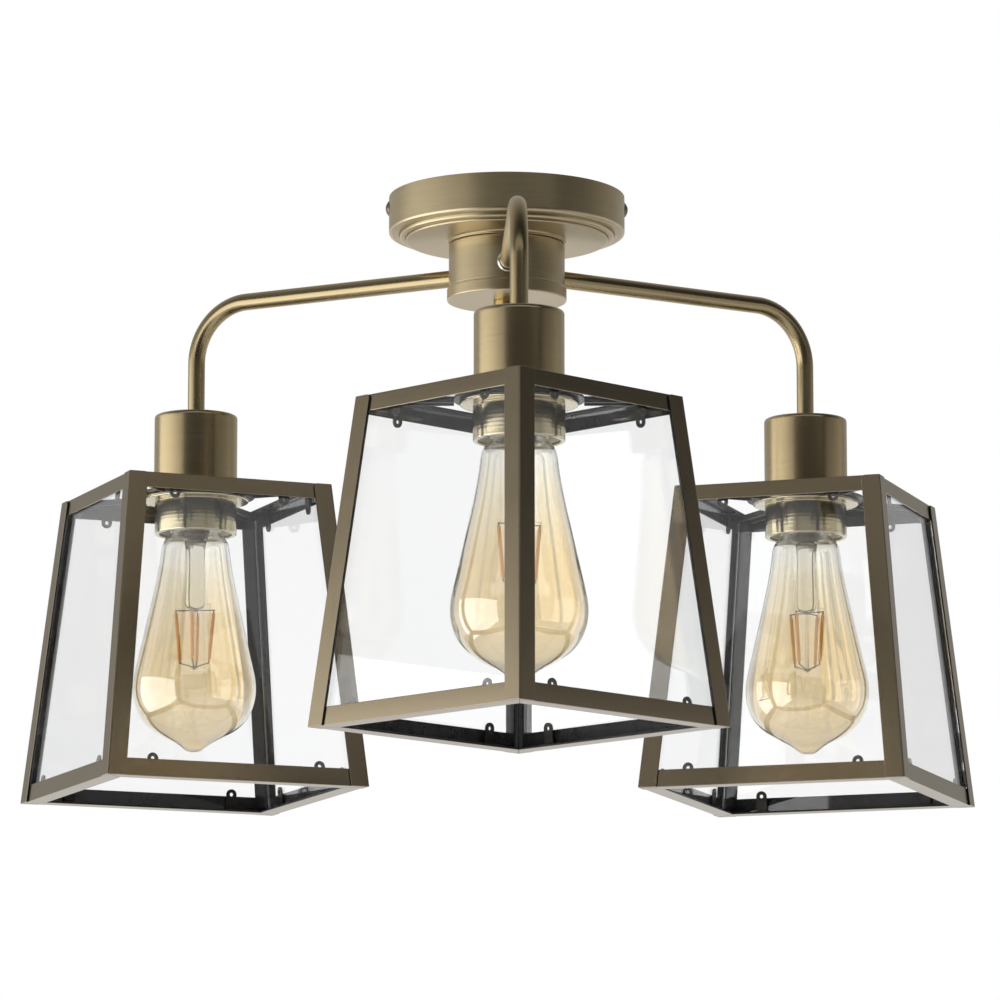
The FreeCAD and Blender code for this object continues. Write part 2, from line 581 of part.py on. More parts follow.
def bulb_solid(inset, top):
    """Filled bulb of revolution: straight neck, swelling flank, drawn-in pointed tip."""
    points = [Vector(r, 0, z) for r, z in bulb_outline(inset)]
    curve = Part.BSplineCurve()
    curve.interpolate(points)
    tip = Vector(0, 0, BULB_TIP + inset)
    neck = Vector(points[0].x, 0, top)
    edges = [curve.toShape(), Part.makeLine(points[-1], tip), Part.makeLine(tip, Vector(0, 0, top)),
             Part.makeLine(Vector(0, 0, top), neck), Part.makeLine(neck, points[0])]
    return Part.Face(Part.Wire(edges)).revolve(Vector(0, 0, 0), AXIS, 360)


def bulb_glass():
    top = BULB_CAP_EDGE + CAP_LENGTH / 3
    return bulb_solid(0.0, top).cut(bulb_solid(BULB_WALL, top + 1))


def bulb_cap():
    """Screw cap: brass cup, insulating cone and centre contact."""
    cap_top = BULB_CAP_EDGE + CAP_LENGTH
    inner = CAP_RADIUS - CAP_WALL
    cup = revolved([(inner, BULB_CAP_EDGE), (CAP_RADIUS, BULB_CAP_EDGE), (CAP_RADIUS, cap_top),
                    (0, cap_top), (0, cap_top - CAP_WALL), (inner, cap_top - CAP_WALL)])
    cone_top = cap_top + CAP_CONE_HEIGHT
    cone = Part.makeCone(inner, CAP_CONTACT_RADIUS + CAP_WALL, CAP_CONE_HEIGHT, Vector(0, 0, cap_top))
    contact = cylinder(CAP_CONTACT_RADIUS, cone_top, BULB_TOP)
    return cup.fuse([cone, contact]).removeSplitter()


def bulb_stem():
    """Clear stem: flare sealed in the neck, thick tube and thin centre rod."""
    seal = BULB_CAP_EDGE + CAP_LENGTH / 4
    flare_radius = bulb_outline(BULB_WALL)[0][0]
    stem_end = BULB_CAP_EDGE - BULB_STEM_LENGTH
    rod_end = stem_end - BULB_ROD_LENGTH
    return revolved([(0, seal), (flare_radius, seal), (BULB_STEM_RADIUS, seal - CAP_LENGTH / 2),
                     (BULB_STEM_RADIUS, stem_end), (BULB_ROD_RADIUS, stem_end),
                     (BULB_ROD_RADIUS, rod_end), (0, rod_end)])


def bar_between(start, end, radius):
    return Part.makeCylinder(radius, (end - start).Length, start, end - start)


def filaments():
    """Slanted filament sticks hung from wires between two collars on the stem's rod."""
    stem_end = BULB_CAP_EDGE - BULB_STEM_LENGTH
    rod_end = stem_end - BULB_ROD_LENGTH
    top = stem_end - WIRE_COLLAR_HEIGHT
    bottom = top - FILAMENT_LENGTH
    low_collar = rod_end + BULB_ROD_RADIUS
    pieces = [cylinder(WIRE_COLLAR_RADIUS, top, stem_end),
              cylinder(WIRE_COLLAR_RADIUS, low_collar, low_collar + WIRE_COLLAR_HEIGHT)]
    for k in range(FILAMENT_COUNT):
        turn = math.radians((k + 0.25) * 360 / FILAMENT_COUNT)
        out = Vector(math.cos(turn), math.sin(turn), 0)
        upper = out * FILAMENT_TOP_SPREAD + Vector(0, 0, top + WIRE_COLLAR_HEIGHT / 2)
        lower = out * FILAMENT_BOTTOM_SPREAD + Vector(0, 0, bottom)
        pieces.append(bar_between(upper, lower, FILAMENT_RADIUS))
        pieces.append(bar_between(Vector(0, 0, top + WIRE_COLLAR_HEIGHT / 2), upper, WIRE_RADIUS))
        pieces.append(bar_between(Vector(0, 0, low_collar + WIRE_COLLAR_HEIGHT / 2), lower, WIRE_RADIUS))
    whole = pieces[0].fuse(pieces[1:])
    return whole.cut(cylinder(BULB_ROD_RADIUS, rod_end - 1, stem_end + 1))


# ---- writing the pieces ----

def write(name, shapes):
    shapes = shapes if isinstance(shapes, list) else [shapes]
    solids = [solid for shape in shapes for solid in shape.Solids]
    whole = solids[0] if len(solids) == 1 else Part.makeCompound(solids)
    if not all(solid.isValid() for solid in solids):
        raise ValueError(name + " has a solid that isn't valid")
    whole.exportStep(os.path.join("parts", name + ".step"))
    print(name, len(solids), "solids", round(sum(solid.Volume for solid in solids), 1), "mm3")


def placed(shapes, turn, twist):
    """Shapes made on the Z axis, twisted there and carried out to the lamp's place."""
    shapes = shapes if isinstance(shapes, list) else [shapes]
    moved = []
    for shape in shapes:
        twisted = turned(shape, twist)
        moved.append(turned(twisted, turn - 90, ARM_REACH))
    return moved


HUB_PIECES = {
    "ceiling_strap": ceiling_strap, "earth_screw": earth_screw, "terminal_block": terminal_block,
    "canopy": canopy, "canopy_screws": canopy_screws, "hub_shell": hub_shell,
    "hub_cover": hub_cover, "hub_stem": hub_stem, "hub_nuts": hub_nuts, "finial": finial,
}
ARM_PIECES = {"arm": arm, "arm_nut": arm_nut}
LAMP_PIECES = {
    "holder_cup": holder_cup, "lampholder": lampholder, "socket_contacts": socket_contacts,
    "shade_ring": shade_ring, "bulb_glass": bulb_glass, "bulb_cap": bulb_cap,
    "bulb_stem": bulb_stem, "filaments": filaments,
}
LANTERN_PIECES = {
    "posts": posts, "top_rails": top_rails, "bottom_rails": bottom_rails,
    "glass_panes": glass_panes, "clips": clips, "cross": cross,
}

os.makedirs("parts", exist_ok=True)
for piece, make in HUB_PIECES.items():
    write(piece, make())
for side, (turn, twist) in LAMPS.items():
    for piece, make in ARM_PIECES.items():
        write(side + "_" + piece, turned(make(), turn - 90))
    for piece, make in LAMP_PIECES.items():
        write(side + "_" + piece, placed(make(), turn, 0.0))
    for piece, make in LANTERN_PIECES.items():
        write(side + "_" + piece, placed(make(), turn, CORNER_OUT + twist))
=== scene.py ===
import math

import bmesh
import bpy
import numpy as np
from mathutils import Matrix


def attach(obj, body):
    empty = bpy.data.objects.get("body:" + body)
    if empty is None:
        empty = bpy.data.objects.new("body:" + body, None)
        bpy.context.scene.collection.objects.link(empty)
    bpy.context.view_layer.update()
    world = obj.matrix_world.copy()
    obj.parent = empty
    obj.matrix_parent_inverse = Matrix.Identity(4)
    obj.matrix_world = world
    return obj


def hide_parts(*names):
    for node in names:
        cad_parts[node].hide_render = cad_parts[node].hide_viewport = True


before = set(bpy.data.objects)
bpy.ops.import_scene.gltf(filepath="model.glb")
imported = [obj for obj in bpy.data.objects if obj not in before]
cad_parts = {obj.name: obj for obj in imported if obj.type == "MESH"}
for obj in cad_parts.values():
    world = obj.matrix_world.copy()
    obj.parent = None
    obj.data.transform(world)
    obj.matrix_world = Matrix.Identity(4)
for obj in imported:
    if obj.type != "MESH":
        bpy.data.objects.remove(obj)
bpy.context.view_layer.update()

MM = 0.001

# Semi-flush ceiling light: canopy, hub and three arms with glass lanterns. Shapes are given in
# millimetres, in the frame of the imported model: +Z up, ceiling at height 0, front towards -Y.

# ---- where the three lamps stand: turn about Z from the front arm, twist of the lantern ----
LAMPS = {"front": (0.0, -1.8), "right": (120.0, -6.0), "left": (-120.0, 6.0)}
ARM_REACH = 184.0

# ---- sizes of the turned pieces: radii, and heights below the ceiling as negative numbers ----
SHEET = 0.8
CANOPY_RADIUS, CANOPY_EDGE, CANOPY_FLOOR = 60.0, -19.5, -22.9
BEAD_RADIUS, BEAD_EDGE, STEP_RADIUS, BOSS_RADIUS = 54.4, -21.5, 51.5, 30.2
SCREW_RADIUS, SCREW_DOME, SCREW_AXIS = 4.0, 1.8, -6.0
SCREW_SLOT, SCREW_SLOT_DEPTH = 1.5, 0.7
SHANK_RADIUS, SHANK_END = 2.0, 52.1
ARM_DEPTH, ARM_RADIUS, ARM_WALL, ARM_BEND = 39.0, 4.4, 1.0, 30.0
ARM_START, ARM_END = 22.5, -101.8
ARM_HOLE = 4.5
HUB_RADIUS, HUB_TOP, HUB_LINE, HUB_BOTTOM = 29.5, -24.5, -47.1, -53.0
COVER_RADIUS, COVER_TOP, COVER_BOTTOM = 30.4, -47.9, -53.9
STEM_HOLE = 5.1
NUT_RADIUS, NUT_EDGE, NUT_TIP_RADIUS, NUT_TIP, NUT_BORE = 6.8, -57.3, 5.8, -60.5, 4.9
CUP_RADIUS, CUP_TOP, CUP_BOTTOM = 21.6, -97.0, -138.7
RING_TOP, RING_BOTTOM, RING_RADIUS, RING_FLANGE = -140.5, -160.0, 21.3, 27.6
RING_BORE, RING_MOUTH, RING_LIP = 20.15, 19.0, 1.2
RING_LINE_PITCH, RING_LINE_DEPTH = 2.0, 0.01
CAP_EDGE, CAP_TOP, CAP_RADIUS, BULB_TOP = -158.3, -135.8, 13.1, -130.8
THREAD_PITCH, THREAD_DEPTH = 3.63, 0.55
BULB_TIP, BULB_WIDEST, BULB_RADIUS, BULB_WALL = -273.8, -239.5, 32.0, 0.9
STEM_END, ROD_END, STEM_RADIUS, ROD_RADIUS = -199.3, -230.8, 5.2, 0.8
STICK_TOP, STICK_BOTTOM = STEM_END - 0.5, STEM_END - 28.0
STICK_TOP_SPREAD, STICK_BOTTOM_SPREAD, STICK_RADIUS, WIRE_RADIUS = 10.0, 7.5, 0.9, 0.3
COLLAR_RADIUS, COLLAR_HEIGHT = 1.7, 1.0
LANTERN_MIDDLE = -217.0
POST_FOLD_ROUND = 0.8


# ---- meshes ----

def join_rings(rings, loop=False):
    """Vertices and faces of a skin over a stack of rings.

    rings is an array (rows, steps, 3). Each ring closes on itself, neighbouring rings are
    joined by quads, and with loop the last ring joins the first. A ring whose points are all
    one point becomes a single vertex, with triangles around it. The skin is turned so that
    the volume inside it is positive, which makes its faces point outwards."""
    rows, steps, _ = rings.shape
    index = np.arange(rows * steps).reshape(rows, steps)
    pole = np.ptp(rings, axis=1).max(axis=1) < 1e-9
    index[pole] = index[pole][:, :1]
    low = index if loop else index[:-1]
    high = np.roll(index, -1, axis=0) if loop else index[1:]
    quads = np.stack([low, np.roll(low, -1, 1), np.roll(high, -1, 1), high], axis=-1).reshape(-1, 4)
    points = rings.reshape(-1, 3)
    a, b, c, d = (points[quads[:, k]] for k in range(4))
    volume = (a * np.cross(b, c)).sum() + (a * np.cross(c, d)).sum()
    if volume < 0:
        quads = quads[:, ::-1]
    used, place = np.unique(quads, return_inverse=True)
    quads = place.reshape(-1, 4)
    faces = [tuple(dict.fromkeys(quad)) for quad in quads.tolist()]
    return used, [face for face in faces if len(face) > 2]


def smooth_mesh(name, points, faces, crease=38.0):
    """Mesh with smooth faces, kept sharp where two faces meet at more than crease degrees."""
    mesh = bpy.data.meshes.new(name)
    mesh.from_pydata(points * MM, [], faces)
    mesh.validate()
    mesh.shade_smooth()
    mesh.set_sharp_from_angle(angle=math.radians(crease))
    return mesh


def write_attribute(mesh, name, kind, domain, values):
    """Store an array as a named attribute of the mesh."""
    layer = mesh.attributes.new(name, kind, domain)
    field = "vector" if kind == "FLOAT_VECTOR" else "value"
    layer.data.foreach_set(field, np.asarray(values, np.float32).ravel())


def piece(name, mesh, body, slot, material, nodes=()):
    """Make an object of the mesh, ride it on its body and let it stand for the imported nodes."""
    made = bpy.data.objects.new(name, mesh)
    bpy.context.scene.collection.objects.link(made)
    mesh.materials.append(material)
    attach(made, body)
    if nodes:
        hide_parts(*nodes)
    return made


def to_lamp(points, side):
    """Carry points from the Z axis out along +X by the arm's reach, then turn them to the arm."""
    if side is None:
        return points
    turn = math.radians(LAMPS[side][0] - 90)
    x, y, z = (points + np.array([ARM_REACH, 0, 0])).T
    return np.stack([x * math.cos(turn) - y * math.sin(turn),
                     x * math.sin(turn) + y * math.cos(turn), z], axis=1)


def rounded_outline(corners, steps=4, shoulder=0.5):
    """Outline through corners (radius, height, round), with each corner rounded off.

    A corner P with neighbours A and B is replaced by the parabola from P + t(A-P) to P + t(B-P)
    with P as its control point, where t is the length that an arc of the given round would
    take from each side. One more point a shoulder away on both sides keeps the wear mark
    narrow. Gives an array of (radius, height, wear), wear being 1 on rounded corners."""
    out = []
    count = len(corners)
    for k, (r, z, size) in enumerate(corners):
        here = np.array([r, z])
        before = np.array(corners[k - 1][:2]) - here
        after = np.array(corners[(k + 1) % count][:2]) - here
        if size <= 0:
            out.append((r, z, 0.0))
            continue
        back, ahead = np.linalg.norm(before), np.linalg.norm(after)
        cosine = before @ after / back / ahead
        half = math.acos(max(-1.0, min(1.0, cosine))) / 2
        t = min(size / math.tan(half), 0.45 * back, 0.45 * ahead)
        start, end = here + before / back * t, here + after / ahead * t
        room = min(shoulder, 0.04 * back + 0.02, 0.04 * ahead + 0.02)
        out.append((*(start + before / back * room), 0.0))
        for u in np.linspace(0, 1, steps + 1):
            at = (1 - u) ** 2 * start + 2 * u * (1 - u) * here + u ** 2 * end
            out.append((*at, 1.0))
        out.append((*(end + after / ahead * room), 0.0))
    return np.array(out)


def lathe(name, outline, side=None, steps=128, loop=True, twist=None):
    """Piece turned on a lathe: point (r, z) of the outline goes round to (r cos a, r sin a, z).

    The brush lines run round the axis: attribute lay holds (x, y, 40 s), s being the length
    along the outline. twist(r, z, a) may move the radius with the angle, as a thread does."""
    outline = np.asarray(outline, float)
    if outline.shape[1] == 2:
        outline = np.column_stack([outline, np.zeros(len(outline))])
    r, z, wear = outline.T
    run = np.concatenate([[0], np.cumsum(np.hypot(np.diff(r), np.diff(z)))])
    a = np.linspace(0, 2 * math.pi, steps, endpoint=False)
    radius = r[:, None] + (twist(r[:, None], z[:, None], a[None, :]) if twist else 0 * a[None, :])
    rings = np.stack([radius * np.cos(a), radius * np.sin(a), z[:, None] + 0 * a], axis=-1)
    used, faces = join_rings(rings, loop)
    points = rings.reshape(-1, 3)[used]
    mesh = smooth_mesh(name, to_lamp(points, side), faces)
    along = np.repeat(run, steps)[used]
    write_attribute(mesh, "lay", "FLOAT_VECTOR", "POINT",
                    np.stack([points[:, 0], points[:, 1], 40 * along], axis=1) * MM)
    write_attribute(mesh, "wear", "FLOAT", "POINT", np.repeat(wear, steps)[used])
    return mesh


def tube_rings(centres, across, radii, steps=32):
    """Rings of a round bar: circles of the given radii about the centres.

    across is one unit vector per centre, square to the path and in the plane of the bend;
    the other direction of each circle is square to both."""
    path = np.gradient(centres, axis=0)
    path /= np.linalg.norm(path, axis=1)[:, None]
    other = np.cross(path, across)
    a = np.linspace(0, 2 * math.pi, steps, endpoint=False)
    turn = (across[:, None, :] * np.cos(a)[None, :, None] + other[:, None, :] * np.sin(a)[None, :, None])
    return centres[:, None, :] + turn * np.asarray(radii)[:, None, None]


# ---- shader groups ----

def node_tools(tree):
    """Short calls to add a node, with its settings and its links, to a node tree."""
    def add(kind, inputs=None, **settings):
        node = tree.nodes.new(kind)
        for key, value in settings.items():
            setattr(node, key, value)
        for key, value in (inputs or {}).items():
            if isinstance(value, bpy.types.NodeSocket):
                tree.links.new(value, node.inputs[key])
            else:
                node.inputs[key].default_value = value
        return node
    return add


def new_group(name, sockets_in, sockets_out):
    """Shader group with named inputs (name, kind, value) and outputs (name, kind)."""
    group = bpy.data.node_groups.new(name, "ShaderNodeTree")
    for title, kind, value in sockets_in:
        socket = group.interface.new_socket(title, in_out="INPUT", socket_type=kind)
        if value is not None:
            socket.default_value = value
    for title, kind in sockets_out:
        group.interface.new_socket(title, in_out="OUTPUT", socket_type=kind)
    add = node_tools(group)
    return group, add, add("NodeGroupInput").outputs, add("NodeGroupOutput")


COLOUR, VALUE, VECTOR = "NodeSocketColor", "NodeSocketFloat", "NodeSocketVector"


def brushed_group():
    """Brush lines along lay, a cloudy patina, and lighter metal where the edges are rubbed."""
    group, add, given, out = new_group(
        "brushed_metal",
        [("Lay", VECTOR, None), ("Wear", VALUE, 0.0), ("Light", COLOUR, (0.5, 0.4, 0.25, 1)),
         ("Dark", COLOUR, (0.3, 0.24, 0.14, 1)), ("Rubbed", COLOUR, (0.7, 0.6, 0.4, 1)),
         ("Rough", VALUE, 0.3), ("Line Scale", VALUE, 45.0)],
        [("Color", COLOUR), ("Roughness", VALUE), ("Height", VALUE)])
    fine = add("ShaderNodeTexNoise", {"Vector": given["Lay"], "Scale": given["Line Scale"],
                                      "Detail": 5.0, "Roughness": 0.62})
    broad_scale = add("ShaderNodeMath", {0: given["Line Scale"], 1: 0.23}, operation="MULTIPLY")
    broad = add("ShaderNodeTexNoise", {"Vector": given["Lay"], "Scale": broad_scale.outputs[0],
                                       "Detail": 2.0})
    place = add("ShaderNodeTexCoord").outputs["Object"]
    cloud = add("ShaderNodeTexNoise", {"Vector": place, "Scale": 22.0, "Detail": 4.0, "Roughness": 0.55})
    lines = add("ShaderNodeMath", {0: fine.outputs["Fac"], 1: 0.62, 2: 0.0}, operation="MULTIPLY_ADD")
    lines = add("ShaderNodeMath", {0: broad.outputs["Fac"], 1: 0.38, 2: lines.outputs[0]},
                operation="MULTIPLY_ADD")
    spread = add("ShaderNodeMapRange", {"Value": lines.outputs[0], "From Min": 0.3, "From Max": 0.7})
    tone = add("ShaderNodeMath", {0: cloud.outputs["Fac"], 1: 0.5, 2: spread.outputs[0]},
               operation="MULTIPLY_ADD")
    tone = add("ShaderNodeMapRange", {"Value": tone.outputs[0], "From Min": -0.1, "From Max": 1.45})
    metal = add("ShaderNodeMix", {"Factor": tone.outputs[0], "A": given["Dark"], "B": given["Light"]},
                data_type="RGBA")
    rub = add("ShaderNodeMath", {0: given["Wear"], 1: cloud.outputs["Fac"]}, operation="MULTIPLY")
    worn = add("ShaderNodeMix", {"Factor": rub.outputs[0], "A": metal.outputs["Result"],
                                 "B": given["Rubbed"]}, data_type="RGBA")
    rough = add("ShaderNodeMath", {0: spread.outputs[0], 1: 0.04, 2: given["Rough"]},
                operation="MULTIPLY_ADD")
    rough = add("ShaderNodeMath", {0: cloud.outputs["Fac"], 1: 0.06, 2: rough.outputs[0]},
                operation="MULTIPLY_ADD")
    links = group.links
    links.new(worn.outputs["Result"], out.inputs["Color"])
    links.new(rough.outputs[0], out.inputs["Roughness"])
    links.new(spread.outputs[0], out.inputs["Height"])
    return group


def mottled_group():
    """Fine speckle over soft clouds, in two tones, for plated, painted and moulded pieces."""
    group, add, given, out = new_group(
        "mottled_finish",
        [("Light", COLOUR, (0.6, 0.6, 0.6, 1)), ("Dark", COLOUR, (0.4, 0.4, 0.4, 1)),
         ("Rough", VALUE, 0.3), ("Speckle Scale", VALUE, 900.0)],
        [("Color", COLOUR), ("Roughness", VALUE), ("Height", VALUE)])
    place = add("ShaderNodeTexCoord").outputs["Object"]
    cloud = add("ShaderNodeTexNoise", {"Vector": place, "Scale": 60.0, "Detail": 3.0})
    speckle = add("ShaderNodeTexNoise", {"Vector": place, "Scale": given["Speckle Scale"],
                                         "Detail": 2.0})
    both = add("ShaderNodeMath", {0: speckle.outputs["Fac"], 1: 0.4, 2: 0.0}, operation="MULTIPLY_ADD")
    both = add("ShaderNodeMath", {0: cloud.outputs["Fac"], 1: 0.6, 2: both.outputs[0]},
               operation="MULTIPLY_ADD")
    spread = add("ShaderNodeMapRange", {"Value": both.outputs[0], "From Min": 0.3, "From Max": 0.7})
    tone = add("ShaderNodeMix", {"Factor": spread.outputs[0], "A": given["Dark"], "B": given["Light"]},
               data_type="RGBA")
    rough = add("ShaderNodeMath", {0: spread.outputs[0], 1: 0.1, 2: given["Rough"]},
                operation="MULTIPLY_ADD")
    group.links.new(tone.outputs["Result"], out.inputs["Color"])
    group.links.new(rough.outputs[0], out.inputs["Roughness"])
    group.links.new(speckle.outputs["Fac"], out.inputs["Height"])
    return group


BRUSHED = brushed_group()
MOTTLED = mottled_group()


def new_material(name):
    """Empty node material: itself, the call that adds its nodes, its shader and its links."""
    material = bpy.data.materials.new(name)
    material.use_nodes = True
    tree = material.node_tree
    shader = tree.nodes["Principled BSDF"]
    return material, node_tools(tree), shader, tree.links


def finish_with(add, links, shader, effect, bump, distance):
    """Feed an effect's colour, roughness and height to the shader."""
    links.new(effect.outputs["Color"], shader.inputs["Base Color"])
    links.new(effect.outputs["Roughness"], shader.inputs["Roughness"])
    relief = add("ShaderNodeBump", {"Strength": bump, "Distance": distance,
                                    "Height": effect.outputs["Height"]})
    links.new(relief.outputs["Normal"], shader.inputs["Normal"])


def brushed_metal(name, light, dark, rubbed, rough, line_scale=45.0, bump=0.12, inside=None):
    """Brushed metal; inside, where given, is the tone and the roughness of the black paint on
    faces marked inside."""
    material, add, shader, links = new_material(name)
    lay = add("ShaderNodeAttribute", attribute_name="lay").outputs["Vector"]
    wear = add("ShaderNodeAttribute", attribute_name="wear").outputs["Fac"]
    effect = add("ShaderNodeGroup", node_tree=BRUSHED)
    values = {"Light": light, "Dark": dark, "Rubbed": rubbed}
    for key, value in values.items():
        effect.inputs[key].default_value = (*value, 1)
    effect.inputs["Rough"].default_value = rough
    effect.inputs["Line Scale"].default_value = line_scale
    links.new(lay, effect.inputs["Lay"])
    links.new(wear, effect.inputs["Wear"])
    shader.inputs["Metallic"].default_value = 1.0
    finish_with(add, links, shader, effect, bump, 0.0002)
    if inside:
        paint_tone, paint_rough = inside
        mark = add("ShaderNodeAttribute", attribute_name="inside").outputs["Fac"]
        paint = add("ShaderNodeGroup", node_tree=MOTTLED)
        paint.inputs["Light"].default_value = (*paint_tone, 1)
        paint.inputs["Dark"].default_value = (*(0.6 * value for value in paint_tone), 1)
        paint.inputs["Rough"].default_value = paint_rough
        colour = add("ShaderNodeMix", {"Factor": mark, "A": effect.outputs["Color"],
                                       "B": paint.outputs["Color"]}, data_type="RGBA")
        roughness = add("ShaderNodeMix", {"Factor": mark, "A": effect.outputs["Roughness"],
                                          "B": paint.outputs["Roughness"]})
        metal = add("ShaderNodeMath", {0: 1.0, 1: mark}, operation="SUBTRACT")
        links.new(colour.outputs["Result"], shader.inputs["Base Color"])
        links.new(roughness.outputs["Result"], shader.inputs["Roughness"])
        links.new(metal.outputs[0], shader.inputs["Metallic"])
        shader.inputs["Specular IOR Level"].default_value = 0.2
    return material


def mottled(name, light, dark, rough, metallic, bump=0.05, speckle=900.0, **sockets):
    """Plated, painted or moulded finish in two close tones."""
    material, add, shader, links = new_material(name)
    effect = add("ShaderNodeGroup", node_tree=MOTTLED)
    effect.inputs["Light"].default_value = (*light, 1)
    effect.inputs["Dark"].default_value = (*dark, 1)
    effect.inputs["Rough"].default_value = rough
    effect.inputs["Speckle Scale"].default_value = speckle
    shader.inputs["Metallic"].default_value = metallic
    for key, value in sockets.items():
        shader.inputs[key.replace("_", " ")].default_value = value
    finish_with(add, links, shader, effect, bump, 0.0001)
    return material


def clear_glass(name, ior, tint):
    """Clear glass whose face waves very slightly."""
    material, add, shader, links = new_material(name)
    place = add("ShaderNodeTexCoord").outputs["Object"]
    wave = add("ShaderNodeTexNoise", {"Vector": place, "Scale": 9.0, "Detail": 1.0})
    tone = add("ShaderNodeMix", {"Factor": wave.outputs["Fac"], "A": (*tint, 1), "B": (1, 1, 1, 1)},
               data_type="RGBA")
    relief = add("ShaderNodeBump", {"Strength": 0.05, "Distance": 0.001, "Height": wave.outputs["Fac"]})
    links.new(tone.outputs["Result"], shader.inputs["Base Color"])
    links.new(relief.outputs["Normal"], shader.inputs["Normal"])
    shader.inputs["Roughness"].default_value = 0.01
    shader.inputs["IOR"].default_value = ior
    shader.inputs["Transmission Weight"].default_value = 1.0
    return material


def amber_glass():
    """Bulb glass, clear at the neck and gold tinted from there down."""
    material, add, shader, links = new_material("amber_glass")
    place = add("ShaderNodeTexCoord").outputs["Object"]
    height = add("ShaderNodeSeparateXYZ", {0: place}).outputs["Z"]
    cloud = add("ShaderNodeTexNoise", {"Vector": place, "Scale": 30.0, "Detail": 2.0})
    fade = add("ShaderNodeMapRange", {"Value": height, "From Min": (CAP_EDGE - 6) * MM,
                                      "From Max": (CAP_EDGE - 62) * MM})
    fade = add("ShaderNodeMath", {0: cloud.outputs["Fac"], 1: 0.12, 2: fade.outputs[0]},
               operation="MULTIPLY_ADD")
    ramp = add("ShaderNodeValToRGB", {"Fac": fade.outputs[0]})
    stops = ramp.color_ramp.elements
    stops[0].position, stops[0].color = 0.0, (0.995, 0.995, 0.985, 1)
    stops[1].position, stops[1].color = 1.0, (0.985, 0.87, 0.65, 1)
    middle = stops.new(0.35)
    middle.color = (0.995, 0.95, 0.835, 1)
    links.new(ramp.outputs["Color"], shader.inputs["Base Color"])
    shader.inputs["Roughness"].default_value = 0.0
    shader.inputs["IOR"].default_value = 1.6
    shader.inputs["Transmission Weight"].default_value = 1.0
    shader.inputs["Coat Weight"].default_value = 1.0
    shader.inputs["Coat IOR"].default_value = 1.85
    shader.inputs["Coat Roughness"].default_value = 0.0
    return material


ANTIQUE_BRASS = brushed_metal("antique_brass", (0.50, 0.40, 0.23), (0.43, 0.34, 0.19),
                              (0.68, 0.58, 0.40), 0.20, bump=0.025)
SATIN_BRASS = brushed_metal("satin_brass", (0.52, 0.43, 0.265), (0.42, 0.335, 0.195),
                            (0.70, 0.60, 0.42), 0.29, bump=0.06)
RING_BRASS = brushed_metal("ring_brass", (0.53, 0.46, 0.30), (0.44, 0.375, 0.235),
                           (0.70, 0.65, 0.52), 0.12, bump=0.04)
LANTERN_BRASS = brushed_metal("lantern_brass", (0.30, 0.247, 0.166), (0.275, 0.225, 0.148),
                              (0.46, 0.39, 0.29), 0.19, line_scale=60.0, bump=0.015,
                              inside=((0.022, 0.022, 0.021), 0.24))
BRIGHT_BRASS = brushed_metal("bright_brass", (0.66, 0.52, 0.24), (0.46, 0.35, 0.15),
                             (0.85, 0.74, 0.48), 0.2)
NICKEL = brushed_metal("nickel_plate", (0.74, 0.71, 0.65), (0.55, 0.52, 0.46), (0.9, 0.88, 0.84), 0.15)
CAP_METAL = brushed_metal("cap_metal", (0.86, 0.83, 0.72), (0.74, 0.70, 0.60), (0.9, 0.88, 0.8), 0.35)
SCREW_METAL = mottled("screw_metal", (0.22, 0.185, 0.12), (0.13, 0.105, 0.065), 0.25, 1.0)
BLACK_METAL = mottled("black_metal", (0.05, 0.05, 0.048), (0.022, 0.022, 0.02), 0.3, 0.0)
CLIP_METAL = mottled("dark_clip_metal", (0.075, 0.072, 0.065), (0.04, 0.038, 0.034), 0.3, 1.0)
WIRE_METAL = mottled("wire_metal", (0.3, 0.27, 0.22), (0.16, 0.14, 0.11), 0.3, 1.0)
ZINC = mottled("zinc_steel", (0.66, 0.66, 0.64), (0.5, 0.5, 0.49), 0.3, 1.0)
CREAM = mottled("cream_plastic", (0.78, 0.74, 0.6), (0.68, 0.63, 0.48), 0.4, 0.0)
FILAMENT = mottled("filament_coating", (0.93, 0.50, 0.10), (0.84, 0.40, 0.06), 0.5, 0.0,
                   speckle=2500.0)
PANE_GLASS = clear_glass("pane_glass", 1.5, (0.985, 0.993, 0.99))
STEM_GLASS = clear_glass("stem_glass", 1.5, (0.96, 0.90, 0.77))
AMBER_GLASS = amber_glass()


# ---- canopy and hub ----

